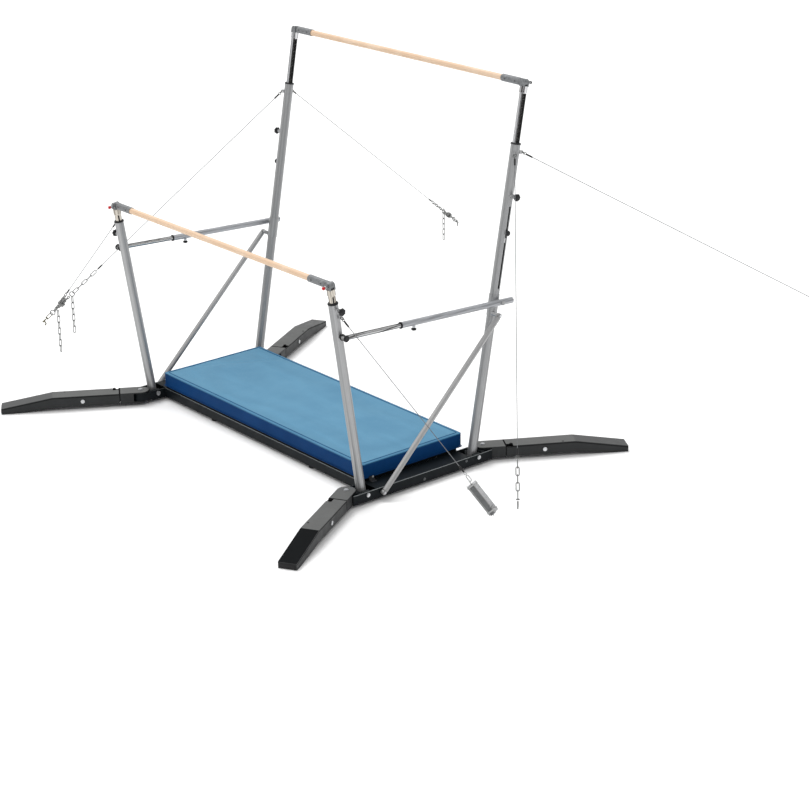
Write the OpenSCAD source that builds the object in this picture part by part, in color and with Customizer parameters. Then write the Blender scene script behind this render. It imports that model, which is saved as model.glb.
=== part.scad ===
// Uneven bars: two height-adjustable rails on leaning telescopic posts, a ladder base with four
// fold-in feet, a landing mat, telescopic spreaders, diagonal braces and six guy cables.
// X runs along the rails, the high rail is on the +Y side, and the origin is the middle of the
// base on the floor. The right-hand end is +X.

/* [Rails] */
// Distance between the two posts of a rail, axis to axis
post_span = 2400; // [2300:10:2500]
// Height of the high rail's axis above the floor
high_rail_z = 2480; // [2200:10:2600]
// Distance of the high rail's axis from the middle of the base
high_rail_y = 907; // [700:1:1100]
// Height of the low rail's axis above the floor
low_rail_z = 1475; // [1400:5:1850]
// Distance of the low rail's axis from the middle of the base
low_rail_y = 672; // [500:1:900]
// Diameter of the wooden rail
rail_d = 40; // [39:0.5:41]
// Length of bare wood between the two end sleeves
wood_length = 2000; // [1900:10:2100]
// Diameter of the hidden core rod in each rail
core_d = 16; // [12:1:20]
// Outside diameter of the end sleeves
sleeve_d = 48; // [44:1:56]
// Thickness of the tongue at the end of each sleeve
tongue_t = 24; // [16:1:30]

/* [Posts] */
// Outside diameter of the outer post tubes
post_d = 62; // [50:1:80]
// Wall of the outer post tubes
post_wall = 4.5; // [3:0.5:8]
// Outside diameter of the inner tubes
inner_d = 46; // [40:1:60]
// Wall of the inner tubes
inner_wall = 4; // [3:0.5:6]
// Distance up the high posts from hinge to tube mouth
high_tube_top = 2064; // [1900:1:2200]
// Distance up the low posts from hinge to tube mouth
low_tube_top = 1306; // [1200:1:1400]
// Distance up the high posts to the foot of the inner tubes
high_inner_foot = 1430; // [1300:5:1600]
// Distance up the low posts to the foot of the inner tubes
low_inner_foot = 640; // [500:5:900]
// Lowest and highest place of the slot knob's stem in the high posts
slot_ends = [1133, 1661];
// Width of the slot
slot_w = 14; // [12:1:20]
// Where the slot knob's stem stands at rest
slot_knob_at = 1495; // [1133:1:1661]
// Where the clamp knobs stand on the high posts, right and left
high_clamp_at = [1735, 1712];
// Where the clamp knobs stand on the low posts, right and left
low_clamp_at = [1272, 1203];
// Where the cable lugs stand on the high posts
high_lug_at = 2012; // [1900:1:2050]
// Where the cable lugs stand on the low posts, right and left
low_lug_at = [1228, 1292];

/* [Base] */
// Half the distance between the hinge lines of the posts
hinge_y = 467; // [400:1:550]
// Height of the post hinges
hinge_z = 63; // [50:1:90]
// Outer face of the end beams
beam_x = 1270; // [1240:1:1320]
// Width of the end beams
beam_w = 140; // [120:1:180]
// Underside and top of the base beams
beam_z = [20, 85];
// Half the length of the end beams
beam_half = 585; // [520:1:650]
// Plate thickness of the base beams
plate_t = 8; // [4:1:12]
// Half the width of the base over its long side beams
frame_half = 400; // [350:1:450]
// Width of the long side beams
side_beam_w = 70; // [50:1:100]
// Thickness of the deck board
deck_t = 18; // [12:1:24]
// Length, width and height of the mat
mat_size = [2280, 855, 104];
// Height of the mat's underside
mat_z = 104; // [100:1:130]
// How far the mat's middle lies behind the base's middle
mat_y = 17; // [0:1:30]

/* [Feet] */
// Place of the foot's pivot bolt
pivot = [1186, 576];
// Angle of the feet away from the crosswise direction
foot_angle = 31; // [20:1:45]
// Width of the feet
foot_w = 120; // [90:1:150]
// Distances from the pivot to the joint line, the bend and the tip
foot_marks = [151, 620, 980];
// Height of the foot's top at the joint line and the bend, and at the tip
foot_top = [100, 102, 42];
// Distance from the pivot to the cross bolt
cross_bolt_at = 410; // [300:5:500]
// Height of the cross bolt
cross_bolt_z = 60; // [40:1:70]
// Lock pin: distance from the pivot, and to the right of the foot's middle
lock_pin_at = [184, 38];

/* [Spreaders and braces] */
// Plane of the spreaders
spreader_x = 1268; // [1260:1:1300]
// Where the spreader pivots on the high posts
high_pivot_at = 1047; // [900:1:1200]
// Where the spreader pivots on the low posts
low_pivot_at = 1095; // [900:1:1200]
// Diameters of the spreader's outer tube and of its rod
spreader_d = [40, 30];
// Length of the outer tube beyond its pivot, and from its pivot to its mouth
spreader_tube = [97, 836];
// Distance from the pivot to the foot of the rod
rod_foot = 560; // [400:5:700]
// Distance from the pivot to the spreader's knob
spreader_knob_at = 730; // [600:5:800]
// Radial play of the rod's eye on the low post's pin
eye_play = 6; // [4:0.5:8]
// Plane of the braces
brace_x = 1290; // [1280:1:1310]
// Bolts of the brace: on the end beam and on the high post's bracket
brace_low = [-354, 55];
brace_high = [622, 1015];
// Diameter of the braces
brace_d = 36; // [22:1:38]

/* [Cables] */
// Diameter of the cables
cable_d = 5; // [4:0.5:8]
// Hook of the two left front cables
hook_left_front = [-2534, -585, 250];
// Hook of the left rear cable
hook_left_rear = [-2602, 3680, 200];
// Hook of the high right front cable
hook_right_front = [2365, -196, 250];
// Hook of the low right cable
hook_right_low = [2340, -334, 250];
// Point that the high right rear cable makes for
hook_right_rear = [3100, 3680, 200];
// Share of the way to that point where its own hook ends it
rear_right_end = 0.615; // [0.4:0.005:1]
// Length of fittings at the lower end: high left front, high left rear, high right front, low right
tackle = [685, 760, 385, 370];
// Length of fittings at the lower end of the low left cable and of the high right rear cable
short_tackle = [400, 120];

/* [Hidden] */
play = 0.05;        // radial clearance of everything that turns or slides
post_x = post_span / 2;
post_r = post_d / 2;
bore_r = post_r - post_wall;
inner_r = inner_d / 2;
rail_r = rail_d / 2;
wood_half = wood_length / 2 + 100;
lean_high = atan((high_rail_y - hinge_y) / (high_rail_z - hinge_z));
lean_low = atan((low_rail_y - hinge_y) / (low_rail_z - hinge_z));
high_reach = norm([high_rail_y - hinge_y, high_rail_z - hinge_z]);
low_reach = norm([low_rail_y - hinge_y, low_rail_z - hinge_z]);
function high_point(s) = [hinge_y + s * sin(lean_high), hinge_z + s * cos(lean_high)];
function low_point(s) = [-hinge_y - s * sin(lean_low), hinge_z + s * cos(lean_low)];
high_pivot = high_point(high_pivot_at);
low_pivot = low_point(low_pivot_at);
spreader_span = norm(high_pivot - low_pivot);
spreader_tilt = atan2(low_pivot[1] - high_pivot[1], high_pivot[0] - low_pivot[0]);
collar_h = 10;
bush_depth = 22;
head_r = 26.5;      // socket of the post head
head_floor = -22.5; // the tongue rests this far below the rail's axis
head_foot = -62;    // lower end of the socket
cheek_t = 9;
cheek_half = 22;
pin_r = 10;         // post hinges and foot pivots
deck_z = beam_z[1];
inner_face = beam_x - beam_w;
nose_r = pivot[0] - inner_face;
lug_reach = 46;     // cable lug: post axis to hole
lug_hole_r = 6;
shackle_r = 11;
thimble_r = 9;
gap = 0.1;          // between parts that only meet end to end
eye_pin_r = 6;      // pin of the low posts that the rods' eyes ride on
ferrule = [34, 78]; // start and end of the ferrule, measured from the lug's hole
link_d = 6;
steel = "#c9cbcd";
chrome = "#dfe1e3";
cast = "#808285";
black = "#1d1e20";
frame_black = "#2b2d2f";
foot_grey = "#6e7072";
wood = "#e1c3a5";
mat_blue = "#6e9bb9";
zinc = "#b4b6b5";
red = "#c8201f";

$fn = 96;

// ---------- placing ----------

module handed(side) {
    if (side > 0) children();
    else mirror([1, 0, 0]) children();
}

module both_ends() {
    for (side = [1, -1]) handed(side) children();
}

// Right-hand high post: z runs up the post from its hinge, x is outward
module on_high_post(s) {
    translate([post_x, hinge_y, hinge_z]) rotate([-lean_high, 0, 0]) translate([0, 0, s])
        children();
}

module on_low_post(s) {
    translate([post_x, -hinge_y, hinge_z]) rotate([lean_low, 0, 0]) translate([0, 0, s])
        children();
}

// z runs from the spreader's pivot on the high post towards the low post, y is up
module on_spreader(s) {
    translate([spreader_x, high_pivot[0], high_pivot[1]]) rotate([90 - spreader_tilt, 0, 0])
        translate([0, 0, s]) children();
}

// y runs from the foot's pivot to its tip
module on_foot(side, end) {
    translate([side * pivot[0], end * pivot[1], 0])
        rotate([0, 0, end > 0 ? -side * foot_angle : side * (foot_angle - 180)]) children();
}

// z runs from one point towards the other
module along(from, to) {
    way = to - from;
    translate(from) rotate([0, acos(way[2] / norm(way)), atan2(way[1], way[0])]) children();
}

module x_rod(r, x0, x1) {
    translate([x0, 0, 0]) rotate([0, 90, 0]) cylinder(r = r, h = x1 - x0);
}

module box(low, high) {
    translate(low) cube(high - low);
}

module rounded_slab(size, r, h) {
    linear_extrude(h) {
        square([size[0] - 2 * r, size[1]], center = true);
        square([size[0], size[1] - 2 * r], center = true);
        for (x = [-1, 1], y = [-1, 1])
            translate([x * (size[0] / 2 - r), y * (size[1] / 2 - r)]) circle(r);
    }
}

// ---------- base ----------

module post_pocket_lugs() {
    lug_t = 8;
    for (x = [-1, 1]) translate([post_x + x * (post_r + 7), hinge_y, 0]) difference() {
        box([-lug_t / 2, -30, beam_z[0] + plate_t - 1], [lug_t / 2, 30, beam_z[1] - 3]);
        translate([0, 0, hinge_z]) x_rod(pin_r + play, -lug_t, lug_t);
    }
}

module beam_nose() {
    nose_z = [29, 91];
    difference() {
        translate([0, 0, nose_z[0]]) union() {
            translate([pivot[0], pivot[1], 0]) cylinder(r = nose_r, h = nose_z[1] - nose_z[0]);
            translate([inner_face, 508, 0])
                cube([beam_x - plate_t - 16 - inner_face, pivot[1] - 508, beam_z[1] - nose_z[0]]);
            translate([beam_x - plate_t - 17, 508, 0])
                cube([18, 20, beam_z[1] - nose_z[0]]);
        }
        translate([pivot[0], pivot[1], 0]) cylinder(r = pin_r + play, h = 200);
    }
}

module end_beam() {
    inside = [inner_face + plate_t, beam_x - plate_t];
    floor_half = 512;
    difference() {
        union() {
            box([inside[1], -beam_half, beam_z[0]], [beam_x, beam_half, beam_z[1]]);
            box([inner_face, -floor_half, beam_z[0]], [inside[0], floor_half, beam_z[1]]);
            box([inner_face, -floor_half, beam_z[0]], [beam_x, floor_half, beam_z[0] + plate_t]);
            box([inner_face, -395, beam_z[1] - 6], [beam_x, 395, beam_z[1]]);
            for (end = [0, 1]) mirror([0, end, 0]) {
                beam_nose();
                post_pocket_lugs();
            }
        }
        for (y = [-1, 1]) translate([0, y * hinge_y, hinge_z])
            x_rod(pin_r + play, inner_face - 1, beam_x + 1);
        translate([0, brace_low[0], brace_low[1]]) x_rod(6 + play, inside[1] - 1, beam_x + 1);
    }
}

module end_beams() {
    color(frame_black) both_ends() end_beam();
}

module hollow_beam(low, high, axis) {
    wall = 4;
    inset = [for (i = [0 : 2]) i == axis ? -1 : wall];
    difference() {
        box(low, high);
        box(low + inset, high - inset);
    }
}

module side_beams() {
    color(frame_black) for (end = [-1, 1]) {
        y = end * (frame_half - side_beam_w / 2);
        hollow_beam([-inner_face, y - side_beam_w / 2, beam_z[0]],
            [inner_face, y + side_beam_w / 2, beam_z[1]], 0);
    }
}

module cross_beams() {
    half = frame_half - side_beam_w;
    color(frame_black) for (x = [-560, 0, 560])
        hollow_beam([x - 30, -half, beam_z[0] + 5], [x + 30, half, beam_z[1]], 1);
}

module deck_board() {
    color(black) box([-inner_face + 2, -frame_half + 6, deck_z],
        [inner_face - 2, frame_half - 6, deck_z + deck_t]);
}

module mat() {
    color(mat_blue) translate([0, mat_y, mat_z]) rounded_slab(mat_size, 22, mat_size[2]);
}

module hex_nut(r, h) {
    cylinder(r = r, h = h, $fn = 6);
}

module hinge_pin() {
    x_rod(pin_r, inner_face - 4, beam_x + 3);
    x_rod(14, beam_x, beam_x + 5);
    x_rod(11, beam_x, beam_x + 8);
    translate([inner_face - 12, 0, 0]) rotate([0, 90, 0]) hex_nut(17, 12);
}

module foot_pivot_bolt() {
    cylinder(r = pin_r, h = 101);
    translate([0, 0, 100]) cylinder(r = 16, h = 3);
    translate([0, 0, 100]) cylinder(r = 13, h = 7);
    translate([0, 0, 9]) hex_nut(16, 13);
}

module brace_bolts() {
    translate([0, brace_low[0], brace_low[1]]) {
        x_rod(6, beam_x - 18, brace_x + 14);
        x_rod(12, beam_x, brace_x - 8);
        x_rod(9, brace_x + 8, brace_x + 14);
    }
    translate([0, brace_high[0], brace_high[1]]) {
        x_rod(6, beam_x - 18, brace_x + 14);
        x_rod(9, brace_x + 8, brace_x + 14);
    }
}

module base_bolts() {
    color(steel) both_ends() {
        for (end = [-1, 1]) {
            translate([0, end * hinge_y, hinge_z]) hinge_pin();
            translate([pivot[0], end * pivot[1], 0]) difference() {
                foot_pivot_bolt();
                translate([0, 0, -1]) cylinder(r = 40, h = 10);
            }
        }
        brace_bolts();
    }
}

module base_pads() {
    color(black) {
        both_ends() for (y = [-360, 0, 360]) translate([post_x, y, 0])
            cylinder(r = 28, h = beam_z[0]);
        for (x = [-560, 560], y = [-1, 1]) translate([x, y * (frame_half - side_beam_w / 2), 0])
            cylinder(r = 28, h = beam_z[0]);
    }
}

// ---------- posts ----------

module tube(r, wall, from, to) {
    translate([0, 0, from]) difference() {
        cylinder(r = r, h = to - from);
        translate([0, 0, -1]) cylinder(r = r - wall, h = to - from + 2);
    }
}

// Where a cable lug's hole stands: right-hand post, lean and lug height given, cable heading
function lug_hole(axis_point, heading) =
    [post_x + lug_reach * cos(heading), axis_point[0] + lug_reach * sin(heading), axis_point[1]];

module cable_lug(axis_point, heading) {
    lug_t = 6;
    translate([post_x, axis_point[0], axis_point[1]]) rotate([0, 0, heading]) difference() {
        union() {
            box([post_r - 3, -lug_t / 2, -11], [lug_reach, lug_t / 2, 11]);
            translate([lug_reach, lug_t / 2, 0]) rotate([90, 0, 0]) cylinder(r = 11, h = lug_t);
        }
        translate([lug_reach, lug_t, 0]) rotate([90, 0, 0]) cylinder(r = lug_hole_r, h = 2 * lug_t);
    }
}

module outer_post(top, clamp_at) {
    plug_top = 30;
    plug_foot = -24;
    boss_r = 14;
    difference() {
        union() {
            translate([0, 0, plug_foot]) cylinder(r = post_r, h = top - plug_foot);
            translate([0, 0, clamp_at]) x_rod(boss_r, bore_r, post_r + 20);
        }
        translate([0, 0, plug_top]) cylinder(r = bore_r, h = top);
        x_rod(pin_r + play, -post_d, post_d);
        translate([0, 0, clamp_at]) x_rod(6 + play, 0, post_d);
    }
}

module post_slot() {
    for (s = slot_ends) translate([0, 0, s]) x_rod(slot_w / 2, bore_r - 6, post_r + 5);
    box([bore_r - 6, -slot_w / 2, slot_ends[0]], [post_r + 5, slot_w / 2, slot_ends[1]]);
}

function heading(from, to) = atan2(to[1] - from[1], to[0] - from[0]);

// Headings of the cables, each in the right-hand post's own view
function mirrored(p) = [-p[0], p[1], p[2]];
high_lug = high_point(high_lug_at);
high_post_top = [post_x, high_lug[0], high_lug[1]];
heads_right = [heading(high_post_top, hook_right_front), heading(high_post_top, hook_right_rear)];
heads_left = [heading(high_post_top, mirrored(hook_left_front)),
    heading(high_post_top, mirrored(hook_left_rear))];
low_lugs = [for (s = low_lug_at) low_point(s)];
// The low left cable ends on the body of the high cable's tensioner
left_line = unit(hook_left_front - lug_at(-1, high_lug, heads_left[0]));
hook_left_low = hook_left_front - left_line * 150;
low_heads = [heading([post_x, low_lugs[0][0]], hook_right_low),
    heading([post_x, low_lugs[1][0]], mirrored(hook_left_low))];

module high_posts() {
    color(steel) for (side = [1, -1]) handed(side) {
        clamp_at = side > 0 ? high_clamp_at[0] : high_clamp_at[1];
        difference() {
            union() {
                on_high_post(0) difference() {
                    outer_post(high_tube_top, clamp_at);
                    post_slot();
                }
                for (a = side > 0 ? heads_right : heads_left) cable_lug(high_lug, a);
            }
            on_high_post(high_lug_at - 100) cylinder(r = bore_r, h = 200);
        }
    }
}

module low_posts() {
    color(steel) for (side = [1, -1]) handed(side) {
        i = side > 0 ? 0 : 1;
        difference() {
            union() {
                on_low_post(0) outer_post(low_tube_top, low_clamp_at[i]);
                cable_lug(low_lugs[i], low_heads[i]);
            }
            on_low_post(low_lug_at[i] - 60) cylinder(r = bore_r, h = 120);
        }
    }
}

module collar() {
    difference() {
        union() {
            translate([0, 0, -bush_depth]) cylinder(r = bore_r - play, h = bush_depth + 1);
            cylinder(r = post_r + 3, h = collar_h - 5);
            translate([0, 0, collar_h - 5]) cylinder(r1 = post_r + 3, r2 = post_r - 1, h = 5);
        }
        translate([0, 0, -50]) cylinder(r = inner_r + play, h = 100);
    }
}

module high_collars() {
    color(black) both_ends() on_high_post(high_tube_top) collar();
}

module low_collars() {
    color(black) both_ends() on_low_post(low_tube_top) collar();
}

// The foot of the inner tube is swaged out to guide it in the outer post
module inner_tube(foot, top, knob_at) {
    swage_h = 30;
    difference() {
        union() {
            translate([0, 0, foot]) cylinder(r = inner_r, h = top - foot);
            translate([0, 0, foot]) cylinder(r = bore_r - 2 * play, h = swage_h);
        }
        translate([0, 0, foot - 1]) cylinder(r = inner_r - inner_wall, h = top - foot + 2);
        if (knob_at > 0) translate([0, 0, knob_at]) x_rod(6 + play, 0, inner_d);
    }
}

module high_inner_tubes() {
    color(chrome) both_ends() on_high_post(0)
        inner_tube(high_inner_foot, high_reach + head_floor - 8 - gap, slot_knob_at);
}

module low_inner_tubes() {
    color(chrome) both_ends() on_low_post(0)
        inner_tube(low_inner_foot, low_reach + head_floor - 8 - gap, 0);
}

// Post head: a socket on the inner tube with a fork that the rail's tongue drops into.
// The rail's axis is at the origin, and pin_side is the side that the pull pin stands on.
module post_head(pin_side) {
    gap = tongue_t / 2 + 0.5;
    difference() {
        union() {
            translate([0, 0, head_foot]) cylinder(r = head_r, h = head_floor - head_foot);
            for (y = [-1, 1]) translate([0, y * (gap + cheek_t / 2), 0]) {
                translate([-cheek_half, -cheek_t / 2, head_floor - 4])
                    cube([2 * cheek_half, cheek_t, 4 - head_floor]);
                rotate([90, 0, 0]) translate([0, 0, -cheek_t / 2])
                    cylinder(r = cheek_half, h = cheek_t);
            }
            translate([0, pin_side * (gap + cheek_t - 1), 0]) rotate([-90 * pin_side, 0, 0])
                cylinder(r = 13, h = 15);
        }
        translate([0, 0, head_foot - 1]) cylinder(r = inner_r + play, h = head_floor - 7 - head_foot);
        translate([0, pin_side * 3, 0]) rotate([-90 * pin_side, 0, 0])
            cylinder(r = 7 + play, h = 60);
    }
}

module high_post_heads() {
    color(cast) both_ends() on_high_post(high_reach) post_head(1);
}

module low_post_heads() {
    color(cast) both_ends() on_low_post(low_reach) post_head(-1);
}

// ---------- rails ----------

module rail() {
    difference() {
        x_rod(rail_r, -wood_half, wood_half);
        x_rod(core_d / 2 + play, -wood_half - 1, wood_half + 1);
    }
}

module rail_core() {
    x_rod(core_d / 2, -wood_half + 4, wood_half - 4);
}

module rail_sleeve(pin_side) {
    mouth = wood_length / 2;
    bottom = wood_half;
    neck = post_x - 46;
    pin_depth = 12;
    tongue_r = 22;
    difference() {
        union() {
            x_rod(sleeve_d / 2, mouth, neck);
            translate([neck, 0, 0]) rotate([0, 90, 0]) cylinder(r1 = sleeve_d / 2, r2 = 17, h = 18);
            box([neck, -tongue_t / 2, -tongue_r], [post_x, tongue_t / 2, tongue_r]);
            translate([post_x, tongue_t / 2, 0]) rotate([90, 0, 0])
                cylinder(r = tongue_r, h = tongue_t);
        }
        x_rod(rail_r + play, mouth - 1, bottom);
        translate([post_x, pin_side * (tongue_t / 2 - pin_depth), 0])
            rotate([-90 * pin_side, 0, 0]) cylinder(r = 7 + play, h = 40);
    }
}

module at_high_rail() {
    translate([0, high_rail_y, high_rail_z]) rotate([-lean_high, 0, 0]) children();
}

module at_low_rail() {
    translate([0, -low_rail_y, low_rail_z]) rotate([lean_low, 0, 0]) children();
}

module high_rail() {
    color(wood) at_high_rail() rail();
}

module high_rail_core() {
    color(steel) at_high_rail() rail_core();
}

module high_rail_sleeves() {
    color(cast) at_high_rail() both_ends() rail_sleeve(1);
}

module low_rail() {
    color(wood) at_low_rail() rail();
}

module low_rail_core() {
    color(steel) at_low_rail() rail_core();
}

module low_rail_sleeves() {
    color(cast) at_low_rail() both_ends() rail_sleeve(-1);
}

// ---------- knobs and pins ----------

// Stem up z from the origin to the head, which is seat above the origin
module knob(stem_r, seat, head_r, head_h) {
    cylinder(r = stem_r, h = seat + 1);
    translate([0, 0, seat]) {
        cylinder(r1 = head_r * 0.45, r2 = head_r, h = head_h * 0.35);
        translate([0, 0, head_h * 0.35]) cylinder(r = head_r, h = head_h * 0.3);
        translate([0, 0, head_h * 0.65]) cylinder(r1 = head_r, r2 = head_r * 0.55, h = head_h * 0.35);
    }
}

module clamp_knob() {
    rotate([0, 90, 0]) translate([0, 0, inner_r + 0.6]) knob(6, post_r + 36 - inner_r, 25, 26);
}

module slot_knob() {
    rotate([0, 90, 0]) {
        translate([0, 0, inner_r - 3]) knob(6, post_r + 6 - inner_r, 18, 20);
        translate([0, 0, post_r + 1]) cylinder(r = 13, h = 3);
    }
}

module spreader_knob() {
    seat = spreader_d[0] / 2 + 12 - spreader_d[1] / 2;
    rotate([90, 0, 0]) translate([0, 0, spreader_d[1] / 2 + 0.5]) knob(5, seat, 17, 20);
}

module pull_pin(pin_side) {
    tip = 0.6;
    rotate([-90 * pin_side, 0, 0]) translate([0, 0, tip]) knob(7, 42, 11, 18);
}

module high_right_clamp_knob() {
    color(black) on_high_post(high_clamp_at[0]) clamp_knob();
}

module high_left_clamp_knob() {
    color(black) handed(-1) on_high_post(high_clamp_at[1]) clamp_knob();
}

module low_right_clamp_knob() {
    color(black) on_low_post(low_clamp_at[0]) clamp_knob();
}

module low_left_clamp_knob() {
    color(black) handed(-1) on_low_post(low_clamp_at[1]) clamp_knob();
}

module right_slot_knob() {
    color(black) on_high_post(slot_knob_at) slot_knob();
}

module left_slot_knob() {
    color(black) handed(-1) on_high_post(slot_knob_at) slot_knob();
}

module right_spreader_knob() {
    color(black) on_spreader(spreader_knob_at) spreader_knob();
}

module left_spreader_knob() {
    color(black) handed(-1) on_spreader(spreader_knob_at) spreader_knob();
}

module high_right_pull_pin() {
    color(black) on_high_post(high_reach) pull_pin(1);
}

module high_left_pull_pin() {
    color(black) handed(-1) on_high_post(high_reach) pull_pin(1);
}

module low_right_pull_pin() {
    color(red) on_low_post(low_reach) pull_pin(-1);
}

module low_left_pull_pin() {
    color(red) handed(-1) on_low_post(low_reach) pull_pin(-1);
}

// ---------- spreaders and braces ----------

module high_brackets() {
    ring = [high_pivot_at - 100, high_pivot_at + 40];
    ring_r = post_r + 3;
    pin = spreader_x - post_x;
    boss_y = brace_high[0] - hinge_y;
    boss_z = brace_high[1] - hinge_z;
    boss_s = boss_y * sin(lean_high) + boss_z * cos(lean_high);
    boss_lat = boss_y * cos(lean_high) - boss_z * sin(lean_high);
    color(cast) both_ends() on_high_post(0) difference() {
        union() {
            translate([0, 0, ring[0]]) cylinder(r = ring_r, h = ring[1] - ring[0]);
            translate([0, 0, high_pivot_at]) {
                x_rod(15, post_r, pin - spreader_d[0] / 2 - 1);
                x_rod(9, post_r, pin + 24);
                x_rod(14, pin + 21, pin + 27);
            }
            translate([0, boss_lat, boss_s]) x_rod(13, 20, brace_x - 8 - gap - post_x);
        }
        translate([0, 0, ring[0] - 1]) cylinder(r = post_r + play, h = ring[1] - ring[0] + 2);
        translate([0, boss_lat, boss_s]) x_rod(6 + play, beam_x - 19 - post_x, 200);
    }
}

module spreader_tubes() {
    r = spreader_d[0] / 2;
    wall = 3;
    boss = 10;
    length = spreader_tube[0] + spreader_tube[1];
    color(steel) both_ends() on_spreader(0) difference() {
        union() {
            translate([0, 0, -spreader_tube[0]]) cylinder(r = r, h = length);
            translate([0, 0, spreader_knob_at]) rotate([90, 0, 0])
                cylinder(r = 10, h = r + boss);
        }
        translate([0, 0, 6 - spreader_tube[0]]) cylinder(r = r - wall, h = length);
        x_rod(9 + play, -r - 1, r + 1);
        translate([0, 0, spreader_knob_at]) rotate([90, 0, 0])
            cylinder(r = 5 + play, h = r + boss + 1);
    }
}

module spreader_bushes() {
    color(black) both_ends() on_spreader(spreader_tube[1]) difference() {
        union() {
            translate([0, 0, -40]) cylinder(r = spreader_d[0] / 2 - 3 - play, h = 41);
            cylinder(r = spreader_d[0] / 2 + 2, h = 6);
        }
        translate([0, 0, -50]) cylinder(r = spreader_d[1] / 2 + play, h = 100);
    }
}

module spreader_rods() {
    r = spreader_d[1] / 2;
    eye_r = eye_pin_r + eye_play + 6;
    eye_half = 14;
    color(chrome) both_ends() on_spreader(0) difference() {
        union() {
            translate([0, 0, rod_foot]) cylinder(r = r, h = spreader_span - eye_r + 3 - rod_foot);
            translate([0, 0, spreader_span]) x_rod(eye_r, -eye_half, eye_half);
        }
        translate([0, 0, rod_foot - 1]) cylinder(r = r - 3, h = spreader_span - 60 - rod_foot);
        translate([0, 0, spreader_span]) x_rod(eye_pin_r + eye_play, -eye_half - 1, eye_half + 1);
    }
}

module low_spreader_pins() {
    eye = spreader_x - post_x;
    disc_r = eye_pin_r + eye_play + 9;
    color(black) both_ends() on_low_post(low_pivot_at) difference() {
        union() {
            x_rod(14, post_r - 4, eye - 19);
            x_rod(disc_r, eye - 21, eye - 16);
            x_rod(eye_pin_r, post_r, eye + 18);
            x_rod(disc_r, eye + 16, eye + 21);
            x_rod(14, eye + 20, eye + 24);
        }
        translate([0, 0, -60]) cylinder(r = post_r, h = 120);
    }
}

module braces() {
    r = brace_d / 2;
    way = brace_high - brace_low;
    length = norm(way);
    color(steel) both_ends() translate([brace_x, brace_low[0], brace_low[1]])
        rotate([atan2(way[1], way[0]) - 90, 0, 0]) difference() {
            union() {
                translate([0, 0, 14]) cylinder(r = r, h = length - 28);
                for (s = [0, length]) translate([0, 0, s]) x_rod(16, -8, 8);
            }
            translate([0, 0, 40]) cylinder(r = r - 3, h = length - 80);
            for (s = [0, length]) translate([0, 0, s]) x_rod(6 + play, -20, 20);
        }
}

// ---------- feet ----------

module plate_outline(width, from, to) {
    circle(r = width / 2);
    translate([-width / 2, from]) square([width, to - from]);
}

// Fork round the beam's nose, short box and the tongue that carries the shell
module foot_arm() {
    wall = 6;
    half = foot_w / 2;
    top = foot_top[0];
    foot = 22;
    box_from = 50;
    box_to = foot_marks[0] - 6;
    tongue = [[-46, 92, 33], [46, 520, 88]];
    difference() {
        union() {
            for (z = [foot, top - 8]) translate([0, 0, z])
                linear_extrude(z == foot ? wall : 8) plate_outline(foot_w, 0, box_to);
            for (x = [-half, half - wall])
                translate([x, box_from, foot]) cube([wall, box_to - box_from, top - foot - 1]);
            difference() {
                box([-half, 80, foot], [half, box_to, top - 1]);
                box([-40, 79, foot + wall], [40, box_to + 1, top - 8]);
            }
            difference() {
                box(tongue[0], tongue[1]);
                box(tongue[0] + [6, -1, 6], tongue[1] - [6, -1, 6]);
            }
        }
        translate([0, 0, foot - 1]) cylinder(r = pin_r + play, h = 100);
        translate([0, cross_bolt_at, cross_bolt_z]) x_rod(8 + play, -half, half);
        translate([lock_pin_at[1], lock_pin_at[0], 80]) cylinder(r = 5 + play, h = 40);
    }
}

module shell_profile(inset) {
    bottom = 24;
    tip_step = 900;
    polygon([
        [foot_marks[0] - (inset > 0 ? 1 : 0), bottom + inset],
        [foot_marks[0] - (inset > 0 ? 1 : 0), foot_top[0] - inset],
        [foot_marks[1] - inset / 4, foot_top[1] - inset],
        [inset > 0 ? tip_step - 80 : foot_marks[2], inset > 0 ? 60 : foot_top[2]],
        [inset > 0 ? tip_step - 80 : foot_marks[2], inset > 0 ? 24 : 0],
        [inset > 0 ? foot_marks[1] : tip_step, inset > 0 ? bottom + inset : 0],
        [foot_marks[1], bottom + inset]
    ]);
}

module across_foot(width) {
    rotate([90, 0, 90]) translate([0, 0, -width / 2]) linear_extrude(width) children();
}

module foot_shell() {
    wall = 6;
    difference() {
        across_foot(foot_w) shell_profile(0);
        across_foot(foot_w - 2 * wall) shell_profile(wall);
        translate([0, cross_bolt_at, cross_bolt_z]) x_rod(8 + play, -foot_w, foot_w);
        translate([lock_pin_at[1] - 14, foot_marks[0] - 1, foot_top[0] - 8])
            cube([60, lock_pin_at[0] - foot_marks[0] + 14, 20]);
    }
}

// Cross bolt and black lock pin, carried by the arm
module foot_fasteners() {
    half = foot_w / 2;
    translate([0, cross_bolt_at, cross_bolt_z]) {
        x_rod(8 + play, -half, half);
        for (x = [-1, 1]) x_rod(14, x > 0 ? half : -half - 5, x > 0 ? half + 5 : -half);
    }
    translate([lock_pin_at[1], lock_pin_at[0], 0]) {
        translate([0, 0, 80]) cylinder(r = 5 + play, h = 26);
        translate([0, 0, 94]) cylinder(r = 11, h = 14);
    }
}

module front_right_foot_arm() {
    color(black) on_foot(1, -1) { foot_arm(); foot_fasteners(); }
}

module front_left_foot_arm() {
    color(black) on_foot(-1, -1) { foot_arm(); foot_fasteners(); }
}

module rear_right_foot_arm() {
    color(black) on_foot(1, 1) { foot_arm(); foot_fasteners(); }
}

module rear_left_foot_arm() {
    color(black) on_foot(-1, 1) { foot_arm(); foot_fasteners(); }
}

module front_right_foot_shell() {
    color(foot_grey) on_foot(1, -1) foot_shell();
}

module front_left_foot_shell() {
    color(foot_grey) on_foot(-1, -1) foot_shell();
}

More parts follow.
